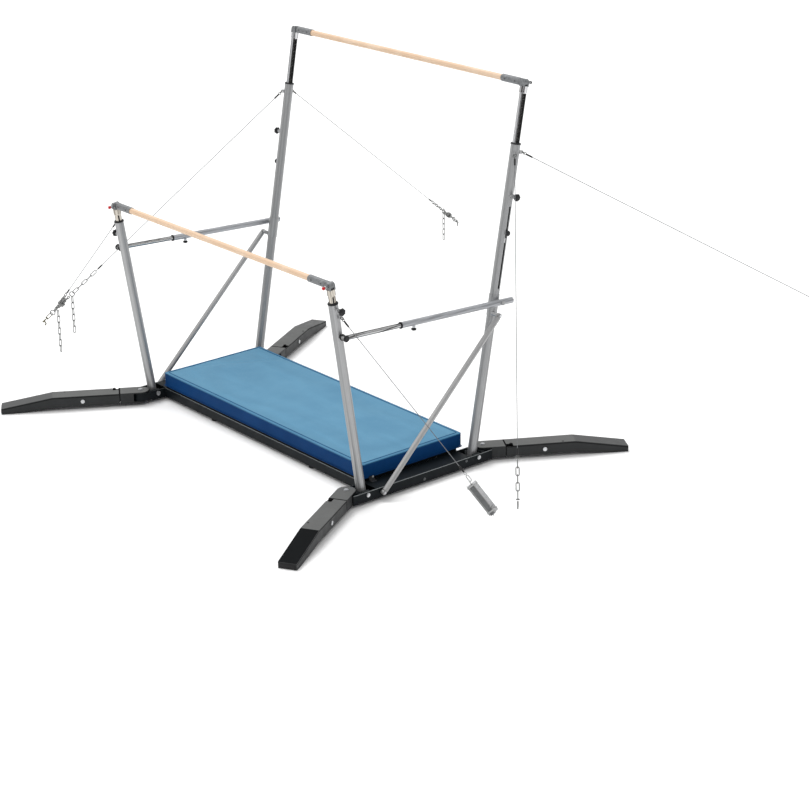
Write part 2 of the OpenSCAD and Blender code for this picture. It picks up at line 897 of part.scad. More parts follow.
module rear_right_foot_shell() {
    color(foot_grey) on_foot(1, 1) foot_shell();
}

module rear_left_foot_shell() {
    color(foot_grey) on_foot(-1, 1) foot_shell();
}

// ---------- cables ----------

module ring(r, wire_d) {
    rotate_extrude() translate([r, 0]) circle(d = wire_d);
}

// Shackle, thimble and ferrule on a cable lug, z towards the cable's far end
module cable_top() {
    translate([0, 0, shackle_r]) rotate([90, 0, 90]) ring(shackle_r, 7);
    translate([0, 0, 2 * shackle_r + 2.5]) rotate([90, 0, 0]) ring(thimble_r, 4.5);
    translate([0, 0, ferrule[0]]) cylinder(r = 5.5, h = ferrule[1] - ferrule[0]);
}

module chain_link(pitch) {
    bend = 10;
    straight = pitch / 2 + link_d / 2 + 0.2 - bend;
    for (end = [1, -1]) mirror([0, 0, end > 0 ? 0 : 1]) translate([0, 0, straight])
        rotate([90, 0, 0]) rotate_extrude(angle = 180) translate([bend, 0]) circle(d = link_d);
    for (x = [-bend, bend]) translate([x, 0, -straight]) cylinder(d = link_d, h = 2 * straight);
}

module chain(from, to, links) {
    pitch = norm(to - from) / links;
    along(from, to) for (i = [0 : links - 1]) translate([0, 0, (i + 0.5) * pitch])
        rotate([0, 0, 90 * (i % 2)]) chain_link(pitch);
}

// Open hook, z towards the floor, its eye at the origin
module hook() {
    shank = 34;
    throat = 14;
    ring(9, 6);
    translate([0, 0, 12]) cylinder(r = 5, h = shank);
    translate([throat, 0, 12 + shank]) rotate([90, 0, 0]) rotate_extrude(angle = 200)
        translate([-throat, 0]) circle(d = 9);
}

// Lever tensioner, z towards its hook: an open channel with a folded lever in it
module lever_tensioner(length) {
    half = 33;
    lever = [-8, 26];
    difference() {
        box([-12, -half, 0], [14, half, length]);
        box([-9, -half + 3, -1], [15, half - 3, length + 1]);
    }
    difference() {
        box([-3, lever[0], 8], [24, lever[1], length + 6]);
        box([0, lever[0] + 3, 7], [25, lever[1] - 3, length + 7]);
    }
    for (z = [16, length - 16]) translate([6, 0, z]) rotate([90, 0, 0])
        cylinder(r = 5, h = 2 * half + 8, center = true);
    translate([0, 0, -6]) rotate([90, 0, 0]) ring(11, 7);
}

// Ratchet tensioner, z towards its hook: screws with eyes, barrel, gear head and lever
module ratchet_tensioner(length) {
    for (z = [0, length]) translate([0, 0, z]) rotate([90, 0, 0]) ring(10, 7);
    translate([0, 0, 10]) cylinder(r = 6, h = length - 20);
    translate([0, 0, length * 0.24]) cylinder(r = 12, h = length * 0.52);
    translate([0, 0, length / 2 - 11]) cylinder(r = 23, h = 22);
    box([-5, 14, length * 0.12], [5, 36, length / 2 + 8]);
}

// Points of a straight run: share t of the way
function part_way(a, b, t) = a + (b - a) * t;
function sweep_ring(p, right, up, r, sides) =
    [for (k = [0 : sides - 1]) p + right * r * cos(360 * k / sides) + up * r * sin(360 * k / sides)];

// A cable as one closed solid along its route's points
module cable(route) {
    sides = 8;
    n = len(route);
    way = (route[n - 1] - route[0]) / norm(route[n - 1] - route[0]);
    right = cross(way, [0, 0, 1]) / norm(cross(way, [0, 0, 1]));
    up = cross(right, way);
    points = [for (p = route) each sweep_ring(p, right, up, cable_d / 2, sides)];
    walls = [for (i = [0 : n - 2], k = [0 : sides - 1]) let (j = (k + 1) % sides)
        [i * sides + k, i * sides + j, (i + 1) * sides + j, (i + 1) * sides + k]];
    caps = [[for (k = [sides - 1 : -1 : 0]) k], [for (k = [0 : sides - 1]) (n - 1) * sides + k]];
    polyhedron(points, concat(walls, caps), convexity = 2);
}

function unit(v) = v / norm(v);
function lug_at(side, p, head) = let (h = lug_hole(p, head)) side > 0 ? h : mirrored(h);
lugs = [
    lug_at(-1, high_lug, heads_left[0]), lug_at(-1, high_lug, heads_left[1]),
    lug_at(1, high_lug, heads_right[0]), lug_at(1, low_lugs[0], low_heads[0]),
    lug_at(-1, low_lugs[1], low_heads[1]), lug_at(1, high_lug, heads_right[1])];
left_rear = 1;
right_front = 2;
right_low = 3;
left_low = 4;
right_rear = 5;
ends = [hook_left_front, hook_left_rear, hook_right_front, hook_right_low, hook_left_low,
    part_way(lugs[right_rear], hook_right_rear, rear_right_end)];
tackles = concat(tackle, short_tackle);
ways = [for (i = [0 : 5]) unit(ends[i] - lugs[i])];
starts = [for (i = [0 : 5]) lugs[i] + ways[i] * (ferrule[1] + gap)];
stops = [for (i = [0 : 5]) ends[i] - ways[i] * tackles[i]];
function from_end(i, d) = ends[i] - ways[i] * d;

module one_cable(i) {
    stretches = 4;
    color(zinc) cable([for (t = [0 : stretches]) part_way(starts[i], stops[i], t / stretches)]);
}

module high_left_front_cable() {
    one_cable(0);
}

module high_left_rear_cable() {
    one_cable(1);
}

module high_right_front_cable() {
    one_cable(2);
}

module low_right_cable() {
    one_cable(3);
}

module low_left_cable() {
    one_cable(4);
}

module high_right_rear_cable() {
    one_cable(5);
}

module high_shackles() {
    color(black) for (i = [0, left_rear, right_front, right_rear]) along(lugs[i], ends[i])
        cable_top();
}

module low_shackles() {
    color(black) for (i = [right_low, left_low]) along(lugs[i], ends[i]) cable_top();
}

// Ferrule and thimble that end cable i; what follows starts at foot_end
module cable_foot(i) {
    along(stops[i], ends[i]) {
        translate([0, 0, gap]) cylinder(r = 5.5, h = 44);
        translate([0, 0, 54]) rotate([90, 0, 90]) ring(thimble_r, 4.5);
    }
}
foot_end = 72;
hook_h = 66;
link = 47;
ring_seat = [22, 16, 10]; // hanging chain below, and chain ends above and below, a big ring
hook_seat = hook_h + 6;   // where the last link meets the hook's eye

// Spare chain that hangs straight down
module chain_tail(top, links) {
    chain(top, top - [0, 0, link * links], links);
}

module big_ring(i, d) {
    along(from_end(i, d), ends[i]) rotate([90, 0, 0]) ring(18, 7);
}

module hook_end(i) {
    along(from_end(i, hook_h), ends[i]) hook();
}

// Chain from the cable's foot to a ring, and from the lower ring to the hook
module upper_chain(i, to, links) {
    chain(stops[i] + ways[i] * foot_end, from_end(i, to), links);
}

module lower_link(i, ring_at) {
    big_ring(i, ring_at);
    chain(from_end(i, ring_at - ring_seat[2]), from_end(i, hook_seat), 1);
    hook_end(i);
}

module left_tensioner() {
    rings = [350, 132];
    body = [310, 150];
    tail_at = 190;
    color(zinc) {
        cable_foot(0);
        upper_chain(0, rings[0] + ring_seat[1], 5);
        big_ring(0, rings[0]);
        along(from_end(0, body[0]), ends[0]) rotate([0, 0, 50]) ratchet_tensioner(body[1]);
        lower_link(0, rings[1]);
        chain_tail(from_end(0, rings[0]) - [0, 0, ring_seat[0]], 6);
        chain_tail(from_end(0, tail_at) - [0, 0, ring_seat[0]], 7);
        cable_foot(left_low);
        upper_chain(left_low, 24, 7);
    }
}

module rear_and_front_chains() {
    rings = [400, 132];
    body = [366, 206];
    color(zinc) {
        cable_foot(left_rear);
        upper_chain(left_rear, rings[0] + ring_seat[1], 6);
        big_ring(left_rear, rings[0]);
        along(from_end(left_rear, body[0]), ends[left_rear]) ratchet_tensioner(body[1]);
        lower_link(left_rear, rings[1]);
        chain_tail(from_end(left_rear, rings[0]) - [0, 0, ring_seat[0]], 5);
        cable_foot(right_front);
        upper_chain(right_front, hook_seat, 5);
        hook_end(right_front);
        cable_foot(right_rear);
        hook_end(right_rear);
    }
}

module right_tensioner() {
    body = [248, 222];
    color(zinc) {
        cable_foot(right_low);
        upper_chain(right_low, body[0] + 14, 1);
        along(from_end(right_low, body[0]), ends[right_low]) rotate([0, 0, 230])
            translate([-4, 10, 0]) lever_tensioner(body[1]);
        hook_end(right_low);
    }
}

end_beams();
side_beams();
cross_beams();
deck_board();
mat();
base_bolts();
base_pads();
high_posts();
high_collars();
braces();
high_brackets();
high_shackles();
high_left_front_cable();
high_left_rear_cable();
high_right_rear_cable();
high_right_front_cable();
left_tensioner();
rear_and_front_chains();
right_tensioner();
low_posts();
low_collars();
low_spreader_pins();
low_shackles();
low_left_cable();
low_right_cable();
high_rail();
high_rail_core();
high_rail_sleeves();
high_post_heads();
high_inner_tubes();
low_rail();
low_rail_core();
low_rail_sleeves();
low_post_heads();
low_inner_tubes();
spreader_tubes();
spreader_bushes();
spreader_rods();
high_right_clamp_knob();
high_left_clamp_knob();
low_right_clamp_knob();
low_left_clamp_knob();
right_slot_knob();
left_slot_knob();
right_spreader_knob();
left_spreader_knob();
high_right_pull_pin();
high_left_pull_pin();
low_right_pull_pin();
low_left_pull_pin();
front_right_foot_arm();
front_left_foot_arm();
rear_right_foot_arm();
rear_left_foot_arm();
front_right_foot_shell();
front_left_foot_shell();
rear_right_foot_shell();
rear_left_foot_shell();
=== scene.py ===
import math

import bmesh
import bpy
import numpy as np
from mathutils import Matrix, Vector, noise


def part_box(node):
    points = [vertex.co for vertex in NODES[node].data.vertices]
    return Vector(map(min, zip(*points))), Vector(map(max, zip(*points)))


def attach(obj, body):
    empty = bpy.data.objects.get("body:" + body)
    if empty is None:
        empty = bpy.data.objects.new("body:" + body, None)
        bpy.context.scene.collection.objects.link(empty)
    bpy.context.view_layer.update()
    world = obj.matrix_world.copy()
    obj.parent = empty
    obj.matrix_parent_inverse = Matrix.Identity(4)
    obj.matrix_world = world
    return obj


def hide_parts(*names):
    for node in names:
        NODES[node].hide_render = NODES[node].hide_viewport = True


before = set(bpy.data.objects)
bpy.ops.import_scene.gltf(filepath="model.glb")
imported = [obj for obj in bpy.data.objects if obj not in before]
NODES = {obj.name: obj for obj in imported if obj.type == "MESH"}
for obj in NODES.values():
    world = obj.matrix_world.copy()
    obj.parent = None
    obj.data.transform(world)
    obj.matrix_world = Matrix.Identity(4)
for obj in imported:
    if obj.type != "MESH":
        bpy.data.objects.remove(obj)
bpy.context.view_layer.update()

# A post's axis runs from its hinge on the base to the end of its rail.
POST_X, HINGE_Y, HINGE_Z = 1.2, 0.467, 0.063
HIGH_RAIL = Vector((0, 0.907, 2.480))
LOW_RAIL = Vector((0, -0.672, 1.475))
INNER_R = 0.023

# How far out the beams' outer faces are, half the beams' lengths, and their top.
END_FACE, END_HALF = 1.270, 0.584
SIDE_FACE, SIDE_HALF = 0.400, 1.129
BEAM_TOP = 0.085


# ---------- camera ----------

def make_camera():
    """A long lens, from the front right and above."""
    eye = Vector((10.5196, -7.7864, 5.2604))
    turn, rise, roll = (math.radians(v) for v in (50.497, 21.259, -0.667))
    back = Vector((math.sin(turn) * math.cos(rise), -math.cos(turn) * math.cos(rise), math.sin(rise)))
    flat = Vector((math.cos(turn), math.sin(turn), 0))
    over = back.cross(flat)
    right = flat * math.cos(roll) + over * math.sin(roll)
    up = over * math.cos(roll) - flat * math.sin(roll)
    data = bpy.data.cameras.new("camera")
    data.lens, data.sensor_width = 90.85, 36
    data.clip_end = 400
    camera = bpy.data.objects.new("camera", data)
    bpy.context.scene.collection.objects.link(camera)
    camera.matrix_world = axes(eye, right, back, up)
    bpy.context.scene.camera = camera


def axes(origin, x, z, y=None):
    """The matrix of a local frame with this origin, x and z."""
    y = z.cross(x) if y is None else y
    m = Matrix((x, y, z)).transposed().to_4x4()
    m.translation = origin
    return m


def post_axes(side, rail, s):
    """A local frame at s up a post: z up the post, x outward."""
    foot = Vector((side * POST_X, math.copysign(HINGE_Y, rail.y), HINGE_Z))
    way = Vector((0, rail.y - foot.y, rail.z - foot.z)).normalized()
    return axes(foot + way * s, Vector((side, 0, 0)), way)


# ---------- materials ----------

def linear(rgb):
    """A display colour, 0 to 255, as linear RGBA."""
    shares = [c / 255 for c in rgb]
    return [((v + 0.055) / 1.055) ** 2.4 if v > 0.04045 else v / 12.92 for v in shares] + [1]


def toned(colour, times, plus=0):
    """A darker or lighter version of a display colour, as linear RGBA."""
    return linear([v * times + plus for v in colour])


class Graph:
    """A material's nodes. Each call adds one node and returns its output."""

    def __init__(self, name):
        self.material = bpy.data.materials.new(name)
        self.material.use_nodes = True
        self.tree = self.material.node_tree
        self.tree.nodes.clear()
        self.place = self.node("TexCoord", out="Object")

    def node(self, kind, inputs=None, out=0, **settings):
        made = self.tree.nodes.new("ShaderNode" + kind)
        for key, value in settings.items():
            setattr(made, key, value)
        for key, value in (inputs or {}).items():
            if isinstance(value, bpy.types.NodeSocket):
                self.tree.links.new(value, made.inputs[key])
            else:
                made.inputs[key].default_value = value
        return made.outputs[out] if len(made.outputs) else None

    def stretched(self, scale, turn=(0, 0, 0)):
        """Coordinates turned into a part's own axes, then divided by a scale for each."""
        return self.node("Mapping", {"Vector": self.place, "Rotation": turn, "Scale": scale},
                         vector_type="TEXTURE")

    def noise(self, vector, scale, detail=3.0, rough=0.55):
        return self.node("TexNoise", {"Vector": vector, "Scale": scale, "Detail": detail,
                                      "Roughness": rough})

    def range(self, value, low, high, to_low=0.0, to_high=1.0):
        return self.node("MapRange", {"Value": value, "From Min": low, "From Max": high,
                                      "To Min": to_low, "To Max": to_high})

    def maths(self, kind, a, b=0.0):
        return self.node("Math", {0: a, 1: b}, operation=kind)

    def mix(self, factor, a, b, blend="MIX"):
        return self.node("Mix", {0: factor, 6: a, 7: b}, out=2, data_type="RGBA", blend_type=blend)

    def rounded(self, radius):
        return self.node("Bevel", {"Radius": radius}, samples=4)

    def edges(self, radius):
        """1 along sharp edges, 0 on flat faces."""
        flat = self.node("NewGeometry", out="Normal")
        dot = self.node("VectorMath", {0: self.rounded(radius), 1: flat}, out="Value",
                        operation="DOT_PRODUCT")
        return self.range(dot, 0.99, 0.86)

    def bump(self, height, strength, distance, normal=None):
        inputs = {"Height": height, "Strength": strength, "Distance": distance}
        if normal is not None:
            inputs["Normal"] = normal
        return self.node("Bump", inputs)

    def surface(self, inputs):
        shader = self.node("BsdfPrincipled", inputs)
        self.node("OutputMaterial", {"Surface": shader})
        return self.material


def coated(name, colour, worn, rough, peel=0.25, edge=0.0012, wear=0.5, shine=0.5):
    """Painted or powder-coated metal: orange peel, dust, and paint worn thin along the edges."""
    g = Graph(name)
    cloud = g.noise(g.place, 5.0, 4.0)
    speck = g.noise(g.place, 900.0, 2.0)
    tint = g.mix(g.range(cloud, 0.3, 0.7, 0.0, 0.5), linear(colour), toned(colour, 0.8))
    tint = g.mix(g.range(speck, 0.45, 0.8, 0.0, 0.35), tint, toned(colour, 1.25, 6))
    nicks = g.range(g.noise(g.place, 60.0, 5.0), 0.42, 0.62)
    mask = g.maths("MULTIPLY", g.edges(edge), g.maths("MULTIPLY", nicks, wear))
    tint = g.mix(mask, tint, linear(worn))
    gloss = g.range(g.noise(g.place, 14.0, 5.0), 0.3, 0.7, rough - 0.06, rough + 0.09)
    height = g.bump(g.noise(g.place, 420.0, 2.0), peel, 0.0004, g.rounded(edge))
    return g.surface({"Base Color": tint, "Roughness": gloss, "Normal": height,
                      "Specular IOR Level": shine})


def drawn(name, colour, rough, lean=0.0, along=(0.0006, 0.0006, 0.6), metal=0.85, reflection_streak=0.6):
    """Drawn, anodised or plated tube: fine lines along it, broad dark streaks along it that are painted
    reflections, and clouding.
    """
    g = Graph(name)
    lines = g.noise(g.stretched(along, (lean, 0, 0)), 1.0, 2.0)
    soft = g.noise(g.stretched(tuple(min(v * 12, 0.9) for v in along), (lean, 0, 0)), 1.0, 3.0)
    broad = g.noise(g.stretched((0.012, 0.012, 2.5), (lean, 0, 0)), 1.0, 1.0)
    cloud = g.noise(g.place, 7.0, 4.0)
    tint = g.mix(g.range(lines, 0.3, 0.7), toned(colour, 0.94), toned(colour, 1.04))
    # Painted reflection: broad dark streaks along the tube.
    tint = g.mix(g.range(broad, 0.42, 0.60, 0.0, reflection_streak), tint, toned(colour, 0.74))
    tint = g.mix(g.range(cloud, 0.35, 0.75, 0.0, 0.35), tint, toned(colour, 0.88))
    gloss = g.maths("ADD", g.range(soft, 0.3, 0.7, rough - 0.05, rough + 0.05),
                    g.range(cloud, 0.3, 0.7, 0.0, 0.05))
    height = g.bump(lines, 0.12, 0.0002, g.rounded(0.0008))
    return g.surface({"Base Color": tint, "Roughness": gloss, "Metallic": metal, "Normal": height})


def plated(name, lean, dark=(84, 80, 80), light=(214, 215, 217), rim=0.6):
    """Hard chrome with painted reflections: dark and bright streaks along the tube, and dark edges painted
    where the surface turns away from the view. The lower rim is, the wider its dark edges.
    """
    g = Graph(name)
    wide = g.noise(g.stretched((0.006, 0.006, 1.6), (lean, 0, 0)), 1.0, 1.0)
    fine = g.noise(g.stretched((0.0016, 0.0016, 0.7), (lean, 0, 0)), 1.0, 2.0)
    haze = g.noise(g.place, 30.0, 4.0)
    # Painted reflections: dark and bright streaks along the tube.
    reflection_streak = g.range(g.maths("ADD", wide, g.maths("MULTIPLY", fine, 0.25)), 0.50, 0.62)
    tint = g.mix(reflection_streak, linear(dark), linear(light))
    tint = g.mix(g.range(haze, 0.5, 0.8, 0.0, 0.25), tint, linear((168, 162, 152)))
    # Painted reflection: the edges that turn away from the view are darkened.
    turned = g.node("LayerWeight", {"Blend": 0.5}, out="Facing")
    tint = g.mix(g.range(turned, rim, rim + 0.25, 0.0, 0.85), tint, toned(dark, 0.6))
    height = g.bump(fine, 0.03, 0.0001)
    return g.surface({"Base Color": tint, "Metallic": 1.0, "Normal": height,
                      "Roughness": g.range(haze, 0.3, 0.7, 0.12, 0.24)})


def cast(name, colour, rough=0.45, metal=0.35):
    """Sand-cast metal under thin grey paint: pebbled skin, bright edges."""
    g = Graph(name)
    grain = g.node("TexVoronoi", {"Vector": g.place, "Scale": 420.0}, out="Distance")
    lumps = g.noise(g.place, 70.0, 5.0)
    tint = g.mix(g.range(lumps, 0.35, 0.7), toned(colour, 0.85), toned(colour, 1.1))
    tint = g.mix(g.maths("MULTIPLY", g.edges(0.0015), 0.55), tint, linear((198, 200, 202)))
    height = g.bump(g.maths("ADD", grain, lumps), 0.3, 0.0004, g.rounded(0.0012))
    return g.surface({"Base Color": tint, "Metallic": metal, "Normal": height,
                      "Roughness": g.range(lumps, 0.3, 0.7, rough - 0.07, rough + 0.1)})


def zinc(name, colour, rough=0.38, metal=0.9):
    """Zinc-plated steel: mottled crystals and dull spots."""
    g = Graph(name)
    crystal = g.node("TexVoronoi", {"Vector": g.place, "Scale": 230.0}, out="Color")
    shade = g.node("SeparateColor", {"Color": crystal})
    dull = g.range(g.noise(g.place, 45.0, 5.0), 0.45, 0.75)
    tint = g.mix(g.range(shade, 0.0, 1.0, 0.0, 0.5), linear(colour), toned(colour, 0.82))
    tint = g.mix(g.maths("MULTIPLY", dull, 0.5), tint, toned(colour, 0.7))
    gloss = g.range(dull, 0.0, 1.0, rough, rough + 0.2)
    height = g.bump(g.noise(g.place, 320.0, 3.0), 0.15, 0.0003)
    return g.surface({"Base Color": tint, "Metallic": metal, "Roughness": gloss, "Normal": height})


def moulded(name, colour, rough=0.42, grain=650.0, depth=0.25, shine=0.3):
    """Moulded plastic or rubber: fine spark-eroded grain, scuffs and rubbed edges."""
    g = Graph(name)
    skin = g.noise(g.place, grain, 2.0)
    scuff = g.range(g.noise(g.stretched((0.02, 0.004, 0.01)), 1.0, 5.0), 0.58, 0.72, 0.0, 0.4)
    tint = g.mix(g.range(skin, 0.3, 0.7), linear(colour), toned(colour, 1.15, 3))
    tint = g.mix(g.maths("MULTIPLY", scuff, 0.5), tint, toned(colour, 1.6, 14))
    tint = g.mix(g.maths("MULTIPLY", g.edges(0.001), 0.3), tint, toned(colour, 1.5, 22))
    gloss = g.maths("ADD", g.range(skin, 0.3, 0.7, rough - 0.05, rough + 0.06),
                    g.maths("MULTIPLY", scuff, 0.3))
    height = g.bump(skin, depth, 0.0003, g.rounded(0.0009))
    return g.surface({"Base Color": tint, "Roughness": gloss, "Normal": height,
                      "Specular IOR Level": shine})


def rail_wood(name, lean):
    """Laminated rail wood: grain, pores and thin glue lines along X, a faint bloom of chalk."""
    ply = 0.0065
    g = Graph(name)
    across = g.stretched((1.0, 1.0, 1.0), (lean, 0, 0))
    layer = g.maths("MULTIPLY", g.node("SeparateXYZ", {"Vector": across}, out="Y"), 1 / ply)
    grain = g.noise(g.stretched((0.35, 0.004, 0.004), (lean, 0, 0)), 1.0, 5.0, 0.6)
    fibre = g.noise(g.stretched((0.05, 0.0007, 0.0007), (lean, 0, 0)), 1.0, 3.0)
    figure = g.node("TexWave", {"Vector": g.stretched((2.2, 0.03, 0.03), (lean, 0, 0)), "Scale": 1.4,
                                "Distortion": 5.0, "Detail": 3.0}, wave_type="RINGS")
    from_middle = g.maths("ABSOLUTE", g.maths("SUBTRACT", g.maths("FRACT", layer), 0.5))
    glue = g.range(from_middle, 0.47, 0.5)
    ply_tone = g.node("TexWhiteNoise", {"W": g.maths("FLOOR", layer)}, noise_dimensions="1D")
    tint = g.mix(g.range(grain, 0.3, 0.72), linear((230, 202, 174)), linear((208, 173, 139)))
    tint = g.mix(g.range(figure, 0.2, 0.9, 0.0, 0.3), tint, linear((205, 165, 128)))
    tint = g.mix(g.range(ply_tone, 0.0, 1.0, 0.0, 0.22), tint, linear((243, 220, 194)))
    tint = g.mix(g.maths("MULTIPLY", glue, 0.45), tint, linear((164, 122, 86)))
    tint = g.mix(g.range(fibre, 0.62, 0.8, 0.0, 0.4), tint, linear((186, 146, 108)))
    chalk = g.range(g.noise(g.place, 6.0, 6.0), 0.5, 0.75, 0.0, 0.3)
    tint = g.mix(chalk, tint, linear((240, 226, 208)))
    gloss = g.maths("ADD", g.range(grain, 0.3, 0.7, 0.42, 0.55), g.maths("MULTIPLY", chalk, 0.4))
    height = g.bump(g.maths("SUBTRACT", fibre, glue), 0.25, 0.0002)
    return g.surface({"Base Color": tint, "Roughness": gloss, "Normal": height, "Coat Weight": 0.12,
                      "Coat Roughness": 0.3})


def board(name):
    """Black-faced plywood, with its plies showing on the edges."""
    g = Graph(name)
    face = g.noise(g.stretched((0.5, 0.01, 0.01)), 1.0, 5.0)
    plies = g.node("TexWave", {"Vector": g.place, "Scale": 120.0, "Distortion": 0.6},
                   bands_direction="Z")
    tint = g.mix(g.range(face, 0.3, 0.7), linear((6, 10, 13)), linear((15, 20, 23)))
    tint = g.mix(g.range(plies, 0.6, 0.9, 0.0, 0.2), tint, linear((52, 50, 48)))
    height = g.bump(face, 0.3, 0.0005, g.rounded(0.001))
    return g.surface({"Base Color": tint, "Roughness": g.range(face, 0.3, 0.7, 0.5, 0.7),
                      "Normal": height, "Specular IOR Level": 0.05})


def mat_cloth(name, colour, shade, rough, shine=0.25):
    """Coated mat cloth: fine woven base under a satin skin, soft clouding and handling marks."""
    pitch = 0.0011
    g = Graph(name)
    threads = [g.node("TexWave", {"Vector": g.place, "Scale": 1 / pitch / 6.283, "Distortion": 0.4},
                      bands_direction=way) for way in ("X", "Y", "Z")]
    weave = g.maths("ADD", threads[0], g.maths("ADD", threads[1], threads[2]))
    cloud = g.noise(g.place, 3.2, 5.0)
    hide = g.node("TexVoronoi", {"Vector": g.place, "Scale": 240.0}, out="Distance")
    tint = g.mix(g.range(cloud, 0.3, 0.7), linear(colour), linear(shade))
    tint = g.mix(g.range(weave, 0.8, 2.2, 0.0, 0.14), tint, toned(colour, 1.18, 8))
    rub = g.range(g.noise(g.stretched((0.5, 0.08, 0.3)), 1.0, 6.0), 0.5, 0.8, 0.0, 0.16)
    tint = g.mix(rub, tint, toned(colour, 1.15, 10))
    gloss = g.range(cloud, 0.3, 0.7, rough - 0.04, rough + 0.08)
    height = g.bump(g.maths("ADD", weave, hide), 0.35, 0.00025)
    return g.surface({"Base Color": tint, "Roughness": gloss, "Normal": height, "Sheen Weight": 0.04,
                      "Sheen Roughness": 0.4, "Specular IOR Level": shine})


def webbing(name, colour):
    """Ribbed strap."""
    g = Graph(name)
    rib = g.node("TexWave", {"Vector": g.place, "Scale": 190.0, "Distortion": 0.3},
                 bands_direction="Z")
    tint = g.mix(g.range(rib, 0.2, 0.8), linear(colour), toned(colour, 1.5, 10))
    return g.surface({"Base Color": tint, "Roughness": 0.75, "Normal": g.bump(rib, 0.5, 0.0004)})


def floor_paint(name):
    """Matt white."""
    g = Graph(name)
    cloud = g.noise(g.place, 0.4, 3.0)
    tint = g.mix(cloud, linear((250, 250, 250)), linear((252, 252, 252)))
    return g.surface({"Base Color": tint, "Roughness": 0.75, "Specular IOR Level": 0.1})


# How far the tubes are turned about X from upright, so that drawn lines and streaks run along them.
LEAN_HIGH = math.atan2(HIGH_RAIL.y - HINGE_Y, HIGH_RAIL.z - HINGE_Z)
LEAN_LOW = math.atan2(-LOW_RAIL.y - HINGE_Y, LOW_RAIL.z - HINGE_Z)
LEAN_BRACE, LEAN_SPREADER = -0.79, 1.62

MATERIALS = {
    "frame_black": coated("frame_black", (18, 23, 26), (112, 116, 118), 0.42, wear=0.7, shine=0.1),
    # Bright strips on the beams' top edges: partly worn metal, partly a painted edge highlight.
    "edge_wear_and_highlight": coated("edge_wear_and_highlight", (126, 131, 132), (170, 173, 174), 0.4, wear=0.3),
    "lug_grey": coated("lug_grey", (92, 96, 98), (150, 152, 154), 0.4),
    # One grey paint in lit and shaded copies: painted light on the tops and slopes, painted shade on the
    # sides, and a painted dark reflection on the front right foot's slope.
    "foot_top": coated("foot_top", (88, 89, 88), (138, 140, 139), 0.45, peel=0.15, shine=0.3),
    "foot_paint_shaded_side": coated("foot_paint_shaded_side", (34, 36, 37), (104, 106, 107), 0.45, peel=0.15, shine=0.3),
    "foot_paint_lit_slope": coated("foot_paint_lit_slope", (72, 73, 73), (128, 130, 130), 0.4, peel=0.15, shine=0.35),
    "foot_paint_dark_reflection": coated("foot_paint_dark_reflection", (6, 9, 11), (70, 76, 78), 0.4, peel=0.1, shine=0.03),
    # Near black: painted shade in the feet's gaps and forks, and the black of the lock pins and cover screws.
    "foot_black_and_gap_shade": moulded("foot_black_and_gap_shade", (6, 6, 7), 0.6, shine=0.03),
    # The tubes' and cables' broad dark streaks are painted reflections.
    "high_tube": drawn("high_tube", (165, 166, 167), 0.36, -LEAN_HIGH, metal=0.5),
    "low_tube": drawn("low_tube", (172, 173, 174), 0.36, LEAN_LOW, metal=0.5),
    "brace_tube": drawn("brace_tube", (172, 172, 172), 0.38, LEAN_BRACE, metal=0.5),
    "spreader_tube": drawn("spreader_tube", (176, 178, 182), 0.34, LEAN_SPREADER, metal=0.6),
    # The chrome's streaks and dark rims are painted reflections.
    "chrome_high": plated("chrome_high", -LEAN_HIGH),
    "chrome_low": plated("chrome_low", LEAN_LOW, (96, 88, 80), (196, 190, 180), 0.45),
    "chrome_rod": plated("chrome_rod", LEAN_SPREADER, (48, 46, 46), (186, 187, 188), 0.3),
    "head_grey": cast("head_grey", (122, 124, 126), 0.45, 0.25),
    "sleeve_grey": cast("sleeve_grey", (122, 124, 126), 0.5, 0.2),
    "bolt_steel": zinc("bolt_steel", (208, 210, 212), 0.28),
    "chain_zinc": zinc("chain_zinc", (132, 133, 132), 0.34, 0.75),
    "tackle_zinc": zinc("tackle_zinc", (196, 197, 197), 0.32, 0.6),
    "lever_bright": zinc("lever_bright", (252, 252, 253), 0.5, 0.0),
    "lever_dull": zinc("lever_dull", (138, 139, 140), 0.45, 0.2),
    "hook_brass": zinc("hook_brass", (122, 118, 96)),
    "cable_steel": drawn("cable_steel", (128, 130, 132), 0.45, along=(0.002, 0.002, 0.002), metal=0.6,
                         reflection_streak=0.2),
    "black_plastic": moulded("black_plastic", (24, 25, 27)),
    "red_plastic": moulded("red_plastic", (176, 26, 30), 0.35),
    "black_rubber": moulded("black_rubber", (22, 22, 23), 0.6, 380.0, 0.4),
    "ferrule_black": moulded("ferrule_black", (22, 22, 23), 0.45),
    "rail_wood_high": rail_wood("rail_wood_high", -LEAN_HIGH),
    "rail_wood_low": rail_wood("rail_wood_low", LEAN_LOW),
    "core_steel": zinc("core_steel", (150, 152, 154)),
    "board": board("board"),
    "mat_top": mat_cloth("mat_top", (82, 134, 163), (74, 125, 155), 0.55),
    "mat_border": mat_cloth("mat_border", (64, 119, 152), (56, 110, 144), 0.55),
    "mat_side": mat_cloth("mat_side", (4, 57, 108), (4, 48, 94), 0.55, 0.05),
    "mat_welt": mat_cloth("mat_welt", (34, 84, 120), (26, 72, 108), 0.5, 0.1),
    "strap": webbing("strap", (16, 17, 20)),
    "scale_strip": moulded("scale_strip", (12, 12, 13), 0.4, 300.0, 0.05, 0.1),
    "scale_marks": moulded("scale_marks", (128, 128, 124), 0.4),
}

